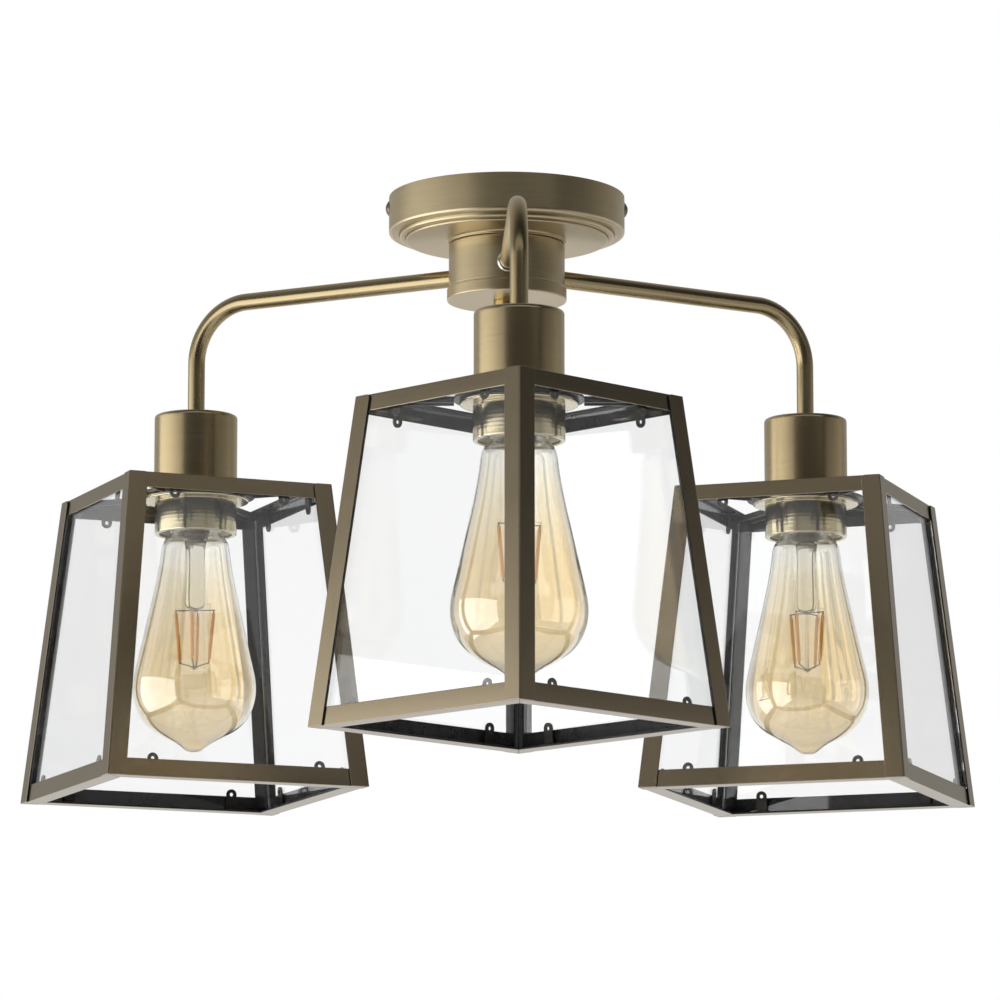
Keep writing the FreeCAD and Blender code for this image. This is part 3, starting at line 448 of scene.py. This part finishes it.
def canopy_pieces():
    """Turned pieces on the hub's axis: canopy dish, hub body, its lid and the cap nut.

    Each outline runs down and inwards along the outside, then back along the inside, one sheet
    thickness away. The dish has a bead with a fine groove on each side, then a raised step and
    a round boss; the hub has one fine turned line."""
    dish = rounded_outline([
        (CANOPY_RADIUS, 0.0, 0.3), (CANOPY_RADIUS, CANOPY_EDGE, 1.6),
        (BEAD_RADIUS + 0.8, CANOPY_EDGE, 0.2), (BEAD_RADIUS + 0.3, CANOPY_EDGE + 0.4, 0.1),
        (BEAD_RADIUS, BEAD_EDGE, 1.5), (STEP_RADIUS + 0.4, BEAD_EDGE - 0.1, 0.3),
        (STEP_RADIUS, BEAD_EDGE + 0.3, 0.1), (STEP_RADIUS, CANOPY_FLOOR, 0.8),
        (BOSS_RADIUS + 0.7, CANOPY_FLOOR, 0.3), (BOSS_RADIUS, CANOPY_FLOOR - 0.6, 0.3),
        (BOSS_RADIUS, HUB_TOP, 0.2), (STEM_HOLE, HUB_TOP, 0.1), (STEM_HOLE, HUB_TOP + SHEET, 0.1),
        (BOSS_RADIUS - SHEET, HUB_TOP + SHEET, 0.2),
        (BOSS_RADIUS - SHEET, CANOPY_FLOOR + SHEET, 0.2),
        (STEP_RADIUS - SHEET, CANOPY_FLOOR + SHEET, 0.3),
        (STEP_RADIUS - SHEET, CANOPY_EDGE + SHEET, 0.3),
        (CANOPY_RADIUS - SHEET, CANOPY_EDGE + SHEET, 0.5), (CANOPY_RADIUS - SHEET, 0.0, 0.2)])
    piece("canopy_dish", lathe("canopy_dish", dish, steps=192), "fixture", "antique_brass",
          SATIN_BRASS, ["canopy"])
    body = rounded_outline([
        (HUB_RADIUS, HUB_TOP, 1.2), (HUB_RADIUS, HUB_LINE + 0.2, 0.15),
        (HUB_RADIUS - 0.25, HUB_LINE, 0.1), (HUB_RADIUS, HUB_LINE - 0.2, 0.15),
        (HUB_RADIUS, HUB_BOTTOM, 0.2), (HUB_RADIUS - SHEET, HUB_BOTTOM, 0.2),
        (HUB_RADIUS - SHEET, HUB_TOP - SHEET, 0.6), (STEM_HOLE, HUB_TOP - SHEET, 0.1),
        (STEM_HOLE, HUB_TOP, 0.1)])
    piece("hub_body", lathe("hub_body", body, steps=160), "fixture", "antique_brass", SATIN_BRASS,
          ["hub_shell"])
    lid = rounded_outline([
        (COVER_RADIUS, COVER_TOP, 0.3), (COVER_RADIUS, COVER_BOTTOM, 0.6),
        (STEM_HOLE, COVER_BOTTOM, 0.1), (STEM_HOLE, COVER_BOTTOM + SHEET, 0.1),
        (COVER_RADIUS - SHEET, COVER_BOTTOM + SHEET, 0.2), (COVER_RADIUS - SHEET, COVER_TOP, 0.1)])
    piece("hub_lid", lathe("hub_lid", lid, steps=160), "fixture", "antique_brass", SATIN_BRASS,
          ["hub_cover"])
    nut = rounded_outline([
        (NUT_RADIUS, COVER_BOTTOM, 0.3), (NUT_RADIUS, NUT_EDGE, 0.5), (NUT_TIP_RADIUS, NUT_EDGE, 0.25),
        (NUT_TIP_RADIUS, NUT_TIP, 0.9), (1.6, NUT_TIP, 0.4), (1.2, NUT_TIP + 0.4, 0.3),
        (0.0, NUT_TIP + 0.4, 0.0), (0.0, NUT_TIP + 1.4, 0.0), (NUT_BORE, NUT_TIP + 1.4, 0.1),
        (NUT_BORE, COVER_BOTTOM, 0.1)])
    piece("cap_nut", lathe("cap_nut", nut, steps=64), "fixture", "bright_brass",
          BRIGHT_BRASS, ["finial"])


def screw_head(side_sign):
    """Domed side screw with a straight slot pressed across it.

    Height over the wall is h(r) = dome (1 - (r / R)^2), R being the head's radius. Where the
    distance from the slot's middle line is under half its width, its depth is taken off."""
    r = SCREW_RADIUS * np.concatenate([np.linspace(0.0, 0.9, 19), [0.95, 0.9875, 1.0]])
    a = np.linspace(0, 2 * math.pi, 64, endpoint=False)
    across = r[:, None] * np.sin(a)
    height = SCREW_DOME * (1 - (r[:, None] / SCREW_RADIUS) ** 2) + 0 * a
    cut = np.clip((SCREW_SLOT / 2 - np.abs(across)) / 0.15, 0, 1)
    height = height - np.minimum(SCREW_SLOT_DEPTH * cut, height)
    top = np.stack([CANOPY_RADIUS + height, across, SCREW_AXIS + r[:, None] * np.cos(a)], axis=-1)
    shank = [(SCREW_RADIUS, CANOPY_RADIUS), (SHANK_RADIUS, CANOPY_RADIUS), (SHANK_RADIUS, SHANK_END),
             (0.0, SHANK_END)]
    rest = np.stack([np.stack([x + 0 * a, rr * np.sin(a), SCREW_AXIS + rr * np.cos(a)], axis=-1)
                     for rr, x in shank])
    rings = np.concatenate([top, rest])
    rings[0] = rings[0, :1]
    rings[..., 0] *= side_sign
    return rings


def side_screws():
    """Both side screws of the canopy in one mesh."""
    points, faces = [], []
    for sign in (1, -1):
        rings = screw_head(sign)
        used, made = join_rings(rings)
        start = sum(len(block) for block in points)
        points.append(rings.reshape(-1, 3)[used])
        faces += [tuple(k + start for k in face) for face in made]
    points = np.concatenate(points)
    mesh = smooth_mesh("side_screws", points, faces, 30.0)
    piece("side_screws", mesh, "fixture", "antique_brass", SCREW_METAL, ["canopy_screws"])


# ---- arms and lampholders ----

def arm(side):
    """Bent tube: level run, quarter circle of the bend radius, drop; the wall's skin runs out
    along the outside and back along the inside."""
    bend = np.linspace(0, math.pi / 2, 25)
    corner_x, corner_z = ARM_REACH - ARM_BEND, -ARM_DEPTH - ARM_BEND
    level = np.linspace(ARM_START, corner_x, 12, endpoint=False)
    drop = np.linspace(corner_z, ARM_END, 6)[1:]
    x = np.concatenate([level, corner_x + ARM_BEND * np.sin(bend), 0 * drop + ARM_REACH])
    z = np.concatenate([0 * level - ARM_DEPTH, corner_z + ARM_BEND * np.cos(bend), drop])
    centres = np.stack([x, 0 * x, z], axis=1)
    angle = np.concatenate([0 * level, bend, 0 * drop + math.pi / 2])
    across = np.stack([np.sin(angle), 0 * angle, np.cos(angle)], axis=1)
    outer = tube_rings(centres, across, np.full(len(x), ARM_RADIUS), 40)
    inner = tube_rings(centres, across, np.full(len(x), ARM_RADIUS - ARM_WALL), 40)[::-1]
    rings = np.concatenate([outer, inner])
    used, faces = join_rings(rings, loop=True)
    points = rings.reshape(-1, 3)[used] - [ARM_REACH, 0, 0]
    mesh = smooth_mesh(side + "_arm_tube", to_lamp(points, side), faces)
    run = np.concatenate([[0], np.cumsum(np.linalg.norm(np.diff(centres, axis=0), axis=1))])
    run = np.concatenate([run, run[::-1]])
    a = np.linspace(0, 2 * math.pi, 40, endpoint=False)
    lay = np.stack([run[:, None] + 0 * a, 160 * np.cos(a) + 0 * run[:, None],
                    160 * np.sin(a) + 0 * run[:, None]], axis=-1)
    write_attribute(mesh, "lay", "FLOAT_VECTOR", "POINT", lay.reshape(-1, 3)[used] * MM)
    write_attribute(mesh, "wear", "FLOAT", "POINT", np.zeros(len(used)))
    piece(side + "_arm_tube", mesh, "fixture", "antique_brass", ANTIQUE_BRASS, [side + "_arm"])


def arm_bushing(side):
    """Thin plated washer where the tube enters the hub: a flat ring bent to the hub's wall."""
    a = np.linspace(0, 2 * math.pi, 48, endpoint=False)
    loop = [(4.45, 0.0), (4.45, 0.5), (4.7, 0.75), (5.5, 0.6), (5.7, 0.3), (5.7, 0.0)]
    rings = []
    for r, out in loop:
        y, z = r * np.cos(a), r * np.sin(a) - ARM_DEPTH
        rings.append(np.stack([np.sqrt(HUB_RADIUS ** 2 - y ** 2) - 0.05 + out, y, z], axis=-1))
    rings = np.stack(rings)
    used, faces = join_rings(rings, loop=True)
    points = rings.reshape(-1, 3)[used]
    mesh = smooth_mesh(side + "_arm_bushing", to_lamp(points - [ARM_REACH, 0, 0], side), faces, 50.0)
    write_attribute(mesh, "lay", "FLOAT_VECTOR", "POINT", points * MM * [10, 1, 1])
    write_attribute(mesh, "wear", "FLOAT", "POINT", np.full(len(used), 0.3))
    piece(side + "_arm_bushing", mesh, "fixture", "nickel_plate", NICKEL)


def cup(side):
    """Holder cup: a turned shell of one sheet thickness with a rounded shoulder."""
    outline = rounded_outline([
        (ARM_HOLE, CUP_TOP, 0.1), (CUP_RADIUS, CUP_TOP, 1.7), (CUP_RADIUS, CUP_BOTTOM, 0.25),
        (CUP_RADIUS - SHEET, CUP_BOTTOM, 0.2), (CUP_RADIUS - SHEET, CUP_TOP - SHEET, 1.0),
        (ARM_HOLE, CUP_TOP - SHEET, 0.1)])
    piece(side + "_cup", lathe(side + "_cup", outline, side), "fixture", "antique_brass",
          ANTIQUE_BRASS, [side + "_holder_cup"])


def ring(side):
    """Shade ring: flange, then a wall with shallow rolled lines, and a rounded lip.

    Along the wall the radius is R - depth (1 - cos(2 pi z / pitch)) / 2."""
    wall_top, wall_low = RING_TOP - 3.6, RING_BOTTOM + 2.6
    z = np.linspace(wall_top, wall_low, 90)
    turns = (z - wall_top) / RING_LINE_PITCH
    wave = RING_RADIUS - RING_LINE_DEPTH * (1 - np.cos(2 * math.pi * turns)) / 2
    wall = np.column_stack([wave, z, 0.25 * np.ones(len(z))])
    upper = rounded_outline([
        (RING_BORE, RING_TOP, 0.2), (RING_FLANGE, RING_TOP, 0.8), (RING_FLANGE, RING_TOP - 2.2, 0.9),
        (RING_RADIUS, RING_TOP - 2.5, 0.4), (RING_RADIUS, wall_top, 0.0)])[:-1]
    lower = rounded_outline([
        (RING_RADIUS, wall_low, 0.0), (RING_RADIUS, RING_BOTTOM, 0.8), (RING_MOUTH, RING_BOTTOM, 0.35),
        (RING_MOUTH, RING_BOTTOM + RING_LIP, 0.3), (RING_BORE, RING_BOTTOM + RING_LIP, 0.1),
        (RING_BORE, RING_TOP, 0.0)])[1:-1]
    outline = np.concatenate([upper, wall, lower])
    piece(side + "_ring", lathe(side + "_ring", outline, side), side + "_ring", "antique_brass",
          RING_BRASS, [side + "_shade_ring"])


# ---- bulb ----

def smooth_curve(points, count):
    """Natural cubic spline through the points, with the length between them as its parameter."""
    points = np.asarray(points, float)
    t = np.concatenate([[0], np.cumsum(np.linalg.norm(np.diff(points, axis=0), axis=1))])
    h = np.diff(t)
    n = len(t)
    matrix, right = np.eye(n), np.zeros((n, 2))
    for k in range(1, n - 1):
        matrix[k, k - 1:k + 2] = h[k - 1], 2 * (h[k - 1] + h[k]), h[k]
        right[k] = 6 * ((points[k + 1] - points[k]) / h[k] - (points[k] - points[k - 1]) / h[k - 1])
    bend = np.linalg.solve(matrix, right)
    s = np.linspace(0, t[-1], count)
    k = np.clip(np.searchsorted(t, s) - 1, 0, n - 2)
    u, v, step = (s - t[k])[:, None], (t[k + 1] - s)[:, None], h[k][:, None]
    return (bend[k] * v ** 3 / (6 * step) + bend[k + 1] * u ** 3 / (6 * step)
            + (points[k] / step - bend[k] * step / 6) * v
            + (points[k + 1] / step - bend[k + 1] * step / 6) * u)


def bulb_wall():
    """Outline of the bulb's glass: outside from neck to tip, then back along the inside.

    The inside is the outside moved square to itself by the wall's thickness."""
    flank = CAP_EDGE - BULB_WIDEST
    drop = BULB_WIDEST - BULB_TIP
    outside = smooth_curve([
        (12.5, CAP_EDGE + 7), (12.7, CAP_EDGE - 0.8),
        (0.50 * BULB_RADIUS, BULB_WIDEST + 0.945 * flank),
        (0.56 * BULB_RADIUS, BULB_WIDEST + 0.86 * flank),
        (0.72 * BULB_RADIUS, BULB_WIDEST + 0.52 * flank),
        (0.94 * BULB_RADIUS, BULB_WIDEST + 0.14 * flank), (BULB_RADIUS, BULB_WIDEST),
        (0.865 * BULB_RADIUS, BULB_TIP + 0.52 * drop), (0.68 * BULB_RADIUS, BULB_TIP + 0.34 * drop),
        (0.46 * BULB_RADIUS, BULB_TIP + 0.215 * drop), (0.29 * BULB_RADIUS, BULB_TIP + 0.135 * drop),
        (0.19 * BULB_RADIUS, BULB_TIP + 0.07 * drop), (0.11 * BULB_RADIUS, BULB_TIP + 0.018 * drop),
        (0.0, BULB_TIP + 0.1)], 180)
    outside[:, 0] = np.maximum(outside[:, 0], 0.0)
    outside[-1, 0] = 0.0
    path = np.gradient(outside, axis=0)
    path /= np.linalg.norm(path, axis=1)[:, None]
    inward = np.stack([path[:, 1], -path[:, 0]], axis=1)
    inside = outside + BULB_WALL * inward
    inside[-1] = 0.0, outside[-1, 1] + BULB_WALL
    keep = inside[:, 0] >= 0
    inside = inside[keep][::-1]
    return np.concatenate([outside, inside])


def bulb(side):
    """Bulb: glass shell, threaded cap with its contact, clear stem with its rod, filaments."""
    body = side + "_bulb"
    glass = lathe(side + "_glass", bulb_wall(), side, steps=160)
    shell = piece(side + "_glass", glass, body, "amber_glass", AMBER_GLASS, [side + "_bulb_glass"])
    shell.visible_shadow = False

    def thread(r, z, a):
        """Rolled thread: the radius waves with height, shifted by one pitch in a full turn."""
        wave = (1 - np.cos(2 * math.pi * (z / THREAD_PITCH - a / (2 * math.pi)))) / 2
        fade = np.clip((z - CAP_EDGE - 1.5) / 2, 0, 1) * np.clip((CAP_TOP - 0.8 - z) / 2, 0, 1)
        return -THREAD_DEPTH * wave * fade * (r > 12)

    heights = np.linspace(CAP_EDGE, CAP_TOP - 0.6, 84)
    wall = np.column_stack([np.full(84, CAP_RADIUS), heights])
    crown = [(12.7, CAP_TOP - 0.15), (11.8, CAP_TOP), (6.2, CAP_TOP + 2.4), (4.6, CAP_TOP + 2.7),
             (4.55, BULB_TOP - 0.6), (3.6, BULB_TOP - 0.1), (0.0, BULB_TOP)]
    within = [(0.0, CAP_TOP - 0.5), (11.6, CAP_TOP - 0.6), (12.25, CAP_TOP - 1.2), (12.25, CAP_EDGE)]
    cap = lathe(side + "_cap", np.concatenate([wall, crown, within]), side, steps=96, twist=thread)
    piece(side + "_cap", cap, body, "nickel_plate", CAP_METAL, [side + "_bulb_cap"])

    seal = CAP_EDGE + 5.6
    stem = smooth_curve([(11.3, seal), (9.0, seal - 3.2), (6.4, seal - 8.5), (5.3, seal - 14),
                         (STEM_RADIUS, STEM_END + 9), (STEM_RADIUS, STEM_END + 4)], 40)
    press = [(5.0, STEM_END + 2.0), (4.0, STEM_END + 0.7), (2.4, STEM_END),
             (ROD_RADIUS, STEM_END - 0.9)]
    rod = [(ROD_RADIUS, STEM_END - 4), (ROD_RADIUS, ROD_END + 0.6), (0.5, ROD_END + 0.1),
           (0.0, ROD_END)]
    outline = np.concatenate([[(0.0, seal)], stem, press, rod])
    mesh = lathe(side + "_stem", outline, side, steps=64, loop=False)
    inner = piece(side + "_stem", mesh, body, "clear_glass", STEM_GLASS, [side + "_bulb_stem"])
    inner.visible_shadow = False
    filaments(side)


def straight_bar(start, end, radius, steps=16, rounded=True):
    """Rings of a straight round bar; its ends close in half circles of the same radius."""
    axis = end - start
    length = np.linalg.norm(axis)
    axis = axis / length
    across = np.cross(axis, [0.3, 0.9, 0.1])
    across /= np.linalg.norm(across)
    other = np.cross(axis, across)
    if rounded:
        cap = np.linspace(0, math.pi / 2, 5)
        s = np.concatenate([radius * (1 - np.cos(cap)), length - radius * (1 - np.cos(cap[::-1]))])
        r = np.concatenate([radius * np.sin(cap), radius * np.sin(cap[::-1])])
    else:
        s, r = np.array([0, 0, length, length]), np.array([0, radius, radius, 0])
    a = np.linspace(0, 2 * math.pi, steps, endpoint=False)
    ring = across * np.cos(a)[:, None] + other * np.sin(a)[:, None]
    return start + axis * s[:, None, None] + ring[None] * r[:, None, None]


def gather(rings_list):
    """Points and faces of several ring skins as one mesh."""
    points, faces, start = [], [], 0
    for rings in rings_list:
        used, made = join_rings(rings)
        points.append(rings.reshape(-1, 3)[used])
        faces += [tuple(k + start for k in face) for face in made]
        start += len(used)
    return np.concatenate(points), faces


def filaments(side):
    """Four coated sticks in a slight cone, hung by bent wires from two collars on the rod.

    Stick k starts at angle 90 k + 22.5 degrees on the upper spread and ends on the lower one."""
    low_collar = ROD_END + 0.8
    sticks, wires = [], []
    for k in range(4):
        turn = math.radians((k + 0.25) * 90)
        out = np.array([math.cos(turn), math.sin(turn), 0])
        upper = out * STICK_TOP_SPREAD + [0, 0, STICK_TOP]
        lower = out * STICK_BOTTOM_SPREAD + [0, 0, STICK_BOTTOM]
        lean = (lower - upper) / np.linalg.norm(lower - upper)
        sticks.append(straight_bar(upper + lean * 1.2, lower - lean * 1.2, STICK_RADIUS))
        wires.append(straight_bar(upper - lean * 0.4, upper + lean * 1.6, WIRE_RADIUS + 0.1, 10))
        wires.append(straight_bar(lower - lean * 1.6, lower + lean * 0.4, WIRE_RADIUS + 0.1, 10))
        wires.append(straight_bar(np.array([0, 0, STICK_TOP]), upper, WIRE_RADIUS, 10))
        wires.append(straight_bar(np.array([0, 0, low_collar + COLLAR_HEIGHT / 2]), lower, WIRE_RADIUS,
                                  10))
    for low in (STEM_END - COLLAR_HEIGHT, low_collar):
        wires.append(straight_bar(np.array([0, 0, low]), np.array([0, 0, low + COLLAR_HEIGHT]),
                                  COLLAR_RADIUS, 24, False))
    for name, rings, slot_name, material, nodes in (
            ("_filament_sticks", sticks, "filament", FILAMENT, [side + "_filaments"]),
            ("_filament_wires", wires, "zinc_steel", WIRE_METAL, [])):
        points, faces = gather(rings)
        mesh = smooth_mesh(side + name, to_lamp(points, side), faces)
        piece(side + name, mesh, side + "_bulb", slot_name, material, nodes)


# ---- lantern ----

def lantern_axes(side):
    """Middle of the lamp and the two level directions of the lantern's sides, in metres."""
    turn, twist = LAMPS[side]
    out = math.radians(turn - 90)
    centre = np.array([math.cos(out), math.sin(out), 0]) * ARM_REACH * MM
    angle = out + math.radians(45 + twist)
    return centre, np.array([math.cos(angle), math.sin(angle), 0]), \
        np.array([-math.sin(angle), math.cos(angle), 0])


def edged(name, node, side, width, upright):
    """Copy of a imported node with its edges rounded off, marked for the brush and the paint.

    Doubled vertices are merged and the long outer fold of each post is rounded off. Then every
    edge that turns by over 25 degrees gets a rounded strip of the given width, and these
    strips carry wear 1. A face is marked inside when it looks away neither from the lamp's
    axis nor from the lantern's middle height. The brush runs up the posts, and along the
    rails."""
    shape = bmesh.new()
    shape.from_mesh(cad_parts[node].data)
    bmesh.ops.remove_doubles(shape, verts=shape.verts, dist=2e-6)
    bmesh.ops.dissolve_limit(shape, angle_limit=math.radians(1), verts=shape.verts, edges=shape.edges)
    centre, u, v = lantern_axes(side)

    def outward(face):
        """How far the face looks away from the lamp's axis, 1 being straight away."""
        flat = np.array(face.calc_center_median()) - centre
        return np.array(face.normal)[:2] @ flat[:2] / np.linalg.norm(flat[:2])

    fold = [edge for edge in shape.edges if edge.calc_length() > 0.1 and len(edge.link_faces) == 2
            and min(outward(face) for face in edge.link_faces) > 0.5
            and edge.calc_face_angle(0) > math.radians(60)]
    bmesh.ops.bevel(shape, geom=fold, offset=POST_FOLD_ROUND * MM, segments=4, profile=0.5,
                    affect="EDGES")
    shape.normal_update()
    sharp = [edge for edge in shape.edges
             if len(edge.link_faces) == 2 and edge.calc_face_angle(0) > math.radians(25)]
    strips = set(bmesh.ops.bevel(shape, geom=sharp, offset=width * MM, segments=2, profile=0.5,
                                 affect="EDGES", clamp_overlap=True)["faces"])
    wear = [1.0 if face in strips else 0.0 for face in shape.faces]
    mesh = bpy.data.meshes.new(name)
    shape.to_mesh(mesh)
    shape.free()
    mesh.shade_smooth()
    count = len(mesh.polygons)
    normals, middles = np.zeros(count * 3), np.zeros(count * 3)
    mesh.polygons.foreach_get("normal", normals)
    mesh.polygons.foreach_get("center", middles)
    normals, middles = normals.reshape(-1, 3), middles.reshape(-1, 3) - centre
    flat = middles * [1, 1, 0]
    aside = (normals * flat).sum(1) / np.linalg.norm(flat, axis=1)
    away = normals[:, 2] * np.sign(middles[:, 2] - LANTERN_MIDDLE * MM)
    inside = (aside < 0.15) & (away < 0.5)
    points = np.zeros(len(mesh.vertices) * 3)
    mesh.vertices.foreach_get("co", points)
    points = points.reshape(-1, 3) - centre
    x, y, z = points @ u, points @ v, points[:, 2]
    if upright:
        lay = np.stack([z, 40 * x, 40 * y], axis=1)
    else:
        first = np.abs(x) > np.abs(y)
        lay = np.stack([np.where(first, y, x), 40 * z, 40 * np.where(first, x, y)], axis=1)
    write_attribute(mesh, "lay", "FLOAT_VECTOR", "POINT", lay)
    write_attribute(mesh, "wear", "FLOAT", "FACE", wear)
    write_attribute(mesh, "inside", "FLOAT", "FACE", inside)
    return mesh


def lantern(side):
    """Lantern frame: posts and rails with rounded edges; the panes let light through."""
    body = side + "_lantern"
    for title, node, width, upright in (("_corner_posts", "_posts", 0.3, True),
                                        ("_upper_rails", "_top_rails", 0.25, False),
                                        ("_lower_rails", "_bottom_rails", 0.25, False)):
        mesh = edged(side + title, side + node, side, width, upright)
        made = piece(side + title, mesh, body, "lantern_brass", LANTERN_BRASS, [side + node])
        made.modifiers.new("even_normals", "WEIGHTED_NORMAL").keep_sharp = True
    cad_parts[side + "_glass_panes"].visible_shadow = False


canopy_pieces()
side_screws()
for lamp in LAMPS:
    arm(lamp)
    arm_bushing(lamp)
    cup(lamp)
    ring(lamp)
    bulb(lamp)
    lantern(lamp)


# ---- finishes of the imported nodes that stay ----
NODE_FINISH = {
    "ceiling_strap": ZINC, "earth_screw": ZINC, "terminal_block": CREAM, "hub_stem": ZINC,
    "hub_nuts": ZINC, "arm_nut": ZINC, "lampholder": CREAM, "socket_contacts": NICKEL,
    "glass_panes": PANE_GLASS, "clips": CLIP_METAL, "cross": BLACK_METAL,
}
for name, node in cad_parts.items():
    kind = name.split("_", 1)[1] if name.split("_")[0] in LAMPS else name
    finish = NODE_FINISH.get(kind)
    if finish:
        node.data.materials.clear()
        node.data.materials.append(finish)


# ---- room: pale floor, white surround, soft light from the left ----

def straight_view(add, path):
    """Masks for rays that were mirrored before, and for rays that come from the camera
    straight or through glass alone."""
    mirrored = add("ShaderNodeMath", {0: path["Glossy Depth"], 1: 0.5}, operation="GREATER_THAN")
    through = add("ShaderNodeMath", {0: path["Is Transmission Ray"], 1: mirrored.outputs[0]},
                  operation="SUBTRACT", use_clamp=True)
    plain = add("ShaderNodeMath", {0: path["Is Camera Ray"], 1: through.outputs[0]},
                operation="MAXIMUM")
    return mirrored.outputs[0], plain.outputs[0]


def plain_floor():
    """Level square floor of pale paint, three metres under the ceiling, lifted towards the white
    of the background where it is looked at."""
    half, level = 6.0, -3.1
    corners = [(-half, -half, level), (half, -half, level), (half, half, level), (-half, half, level)]
    mesh = bpy.data.meshes.new("floor")
    mesh.from_pydata(corners, [], [(0, 1, 2, 3)])
    floor = bpy.data.objects.new("floor", mesh)
    bpy.context.scene.collection.objects.link(floor)
    paint = mottled("floor_paint", (0.86, 0.86, 0.86), (0.84, 0.84, 0.84), 0.6, 0.0, bump=0.0,
                    speckle=40.0)
    add = node_tools(paint.node_tree)
    plain = straight_view(add, add("ShaderNodeLightPath").outputs)[1]
    lift = add("ShaderNodeMath", {0: plain, 1: 0.4}, operation="MULTIPLY")
    shader = paint.node_tree.nodes["Principled BSDF"]
    shader.inputs["Emission Color"].default_value = (1, 1, 1, 1)
    paint.node_tree.links.new(lift.outputs[0], shader.inputs["Emission Strength"])
    mesh.materials.append(paint)


def surround():
    """White for the camera and through glass; in reflections pale behind and below the light,
    dim in front of it and above; an even grey for diffuse light."""
    world = bpy.data.worlds.new("surround")
    bpy.context.scene.world = world
    world.use_nodes = True
    tree = world.node_tree
    add = node_tools(tree)
    path = add("ShaderNodeLightPath").outputs
    direction = add("ShaderNodeTexCoord").outputs["Generated"]
    depth = add("ShaderNodeVectorMath", {0: direction, 1: (-0.3, 1.0, 0.0)},
                operation="DOT_PRODUCT").outputs["Value"]
    seen = add("ShaderNodeMapRange", {"Value": depth, "From Min": -0.6, "From Max": 0.9,
                                      "To Min": 0.04, "To Max": 0.9}, interpolation_type="SMOOTHSTEP")
    height = add("ShaderNodeSeparateXYZ", {0: direction}).outputs["Z"]
    lower = add("ShaderNodeMapRange", {"Value": height, "From Min": -0.12, "From Max": 0.2,
                                       "To Min": 1.0, "To Max": 0.5}, interpolation_type="SMOOTHSTEP")
    seen = add("ShaderNodeMath", {0: seen.outputs[0], 1: lower.outputs[0]}, operation="MULTIPLY")
    mirrored, plain = straight_view(add, path)
    reflected = add("ShaderNodeMath", {0: path["Is Transmission Ray"], 1: mirrored},
                    operation="MULTIPLY")
    reflected = add("ShaderNodeMath", {0: path["Is Glossy Ray"], 1: reflected.outputs[0]},
                    operation="MAXIMUM")
    veiled = add("ShaderNodeMath", {0: path["Is Transmission Ray"], 1: 0.34, 2: seen.outputs[0]},
                 operation="MULTIPLY_ADD", use_clamp=True)
    glossy = add("ShaderNodeMix", {"Factor": reflected.outputs[0], "A": 0.62, "B": veiled.outputs[0]})
    level = add("ShaderNodeMix", {"Factor": plain, "A": glossy.outputs["Result"], "B": 1.0})
    back = tree.nodes["Background"]
    back.inputs["Color"].default_value = (1, 1, 1, 1)
    tree.links.new(level.outputs["Result"], back.inputs["Strength"])


def softbox(name, place, target, width, height, power):
    """Rectangular lamp at place, facing target."""
    light = bpy.data.lights.new(name, "AREA")
    light.shape, light.size, light.size_y, light.energy = "RECTANGLE", width, height, power
    lamp_object = bpy.data.objects.new(name, light)
    bpy.context.scene.collection.objects.link(lamp_object)
    lamp_object.location = place
    aim = np.array(target) - np.array(place)
    yaw = math.atan2(aim[1], aim[0]) - math.pi / 2
    pitch = math.atan2(aim[2], math.hypot(aim[0], aim[1]))
    lamp_object.rotation_euler = (math.pi / 2 + pitch, 0, yaw)


plain_floor()
surround()
softbox("left_softbox", (-2.6, -1.1, -0.95), (0, -1.1, -0.95), 4.9, 2.8, 72)
softbox("right_softbox", (2.6, -0.3, -0.55), (0, -0.3, -0.55), 3.2, 1.9, 7.5)
softbox("top_softbox", (0.0, -2.4, 1.15), (0, -0.1, -0.2), 5.4, 0.95, 7)

camera = bpy.data.cameras.new("camera")
camera.lens, camera.sensor_width, camera.clip_end = 204.9, 36.0, 100.0
camera_object = bpy.data.objects.new("camera", camera)
bpy.context.scene.collection.objects.link(camera_object)
camera_object.location = (-0.0900, -2.8326, -0.6427)
camera_object.rotation_euler = (math.radians(90 + 9.74), 0, math.radians(-1.75))
bpy.context.scene.camera = camera_object
bpy.context.scene.view_settings.view_transform = "Standard"
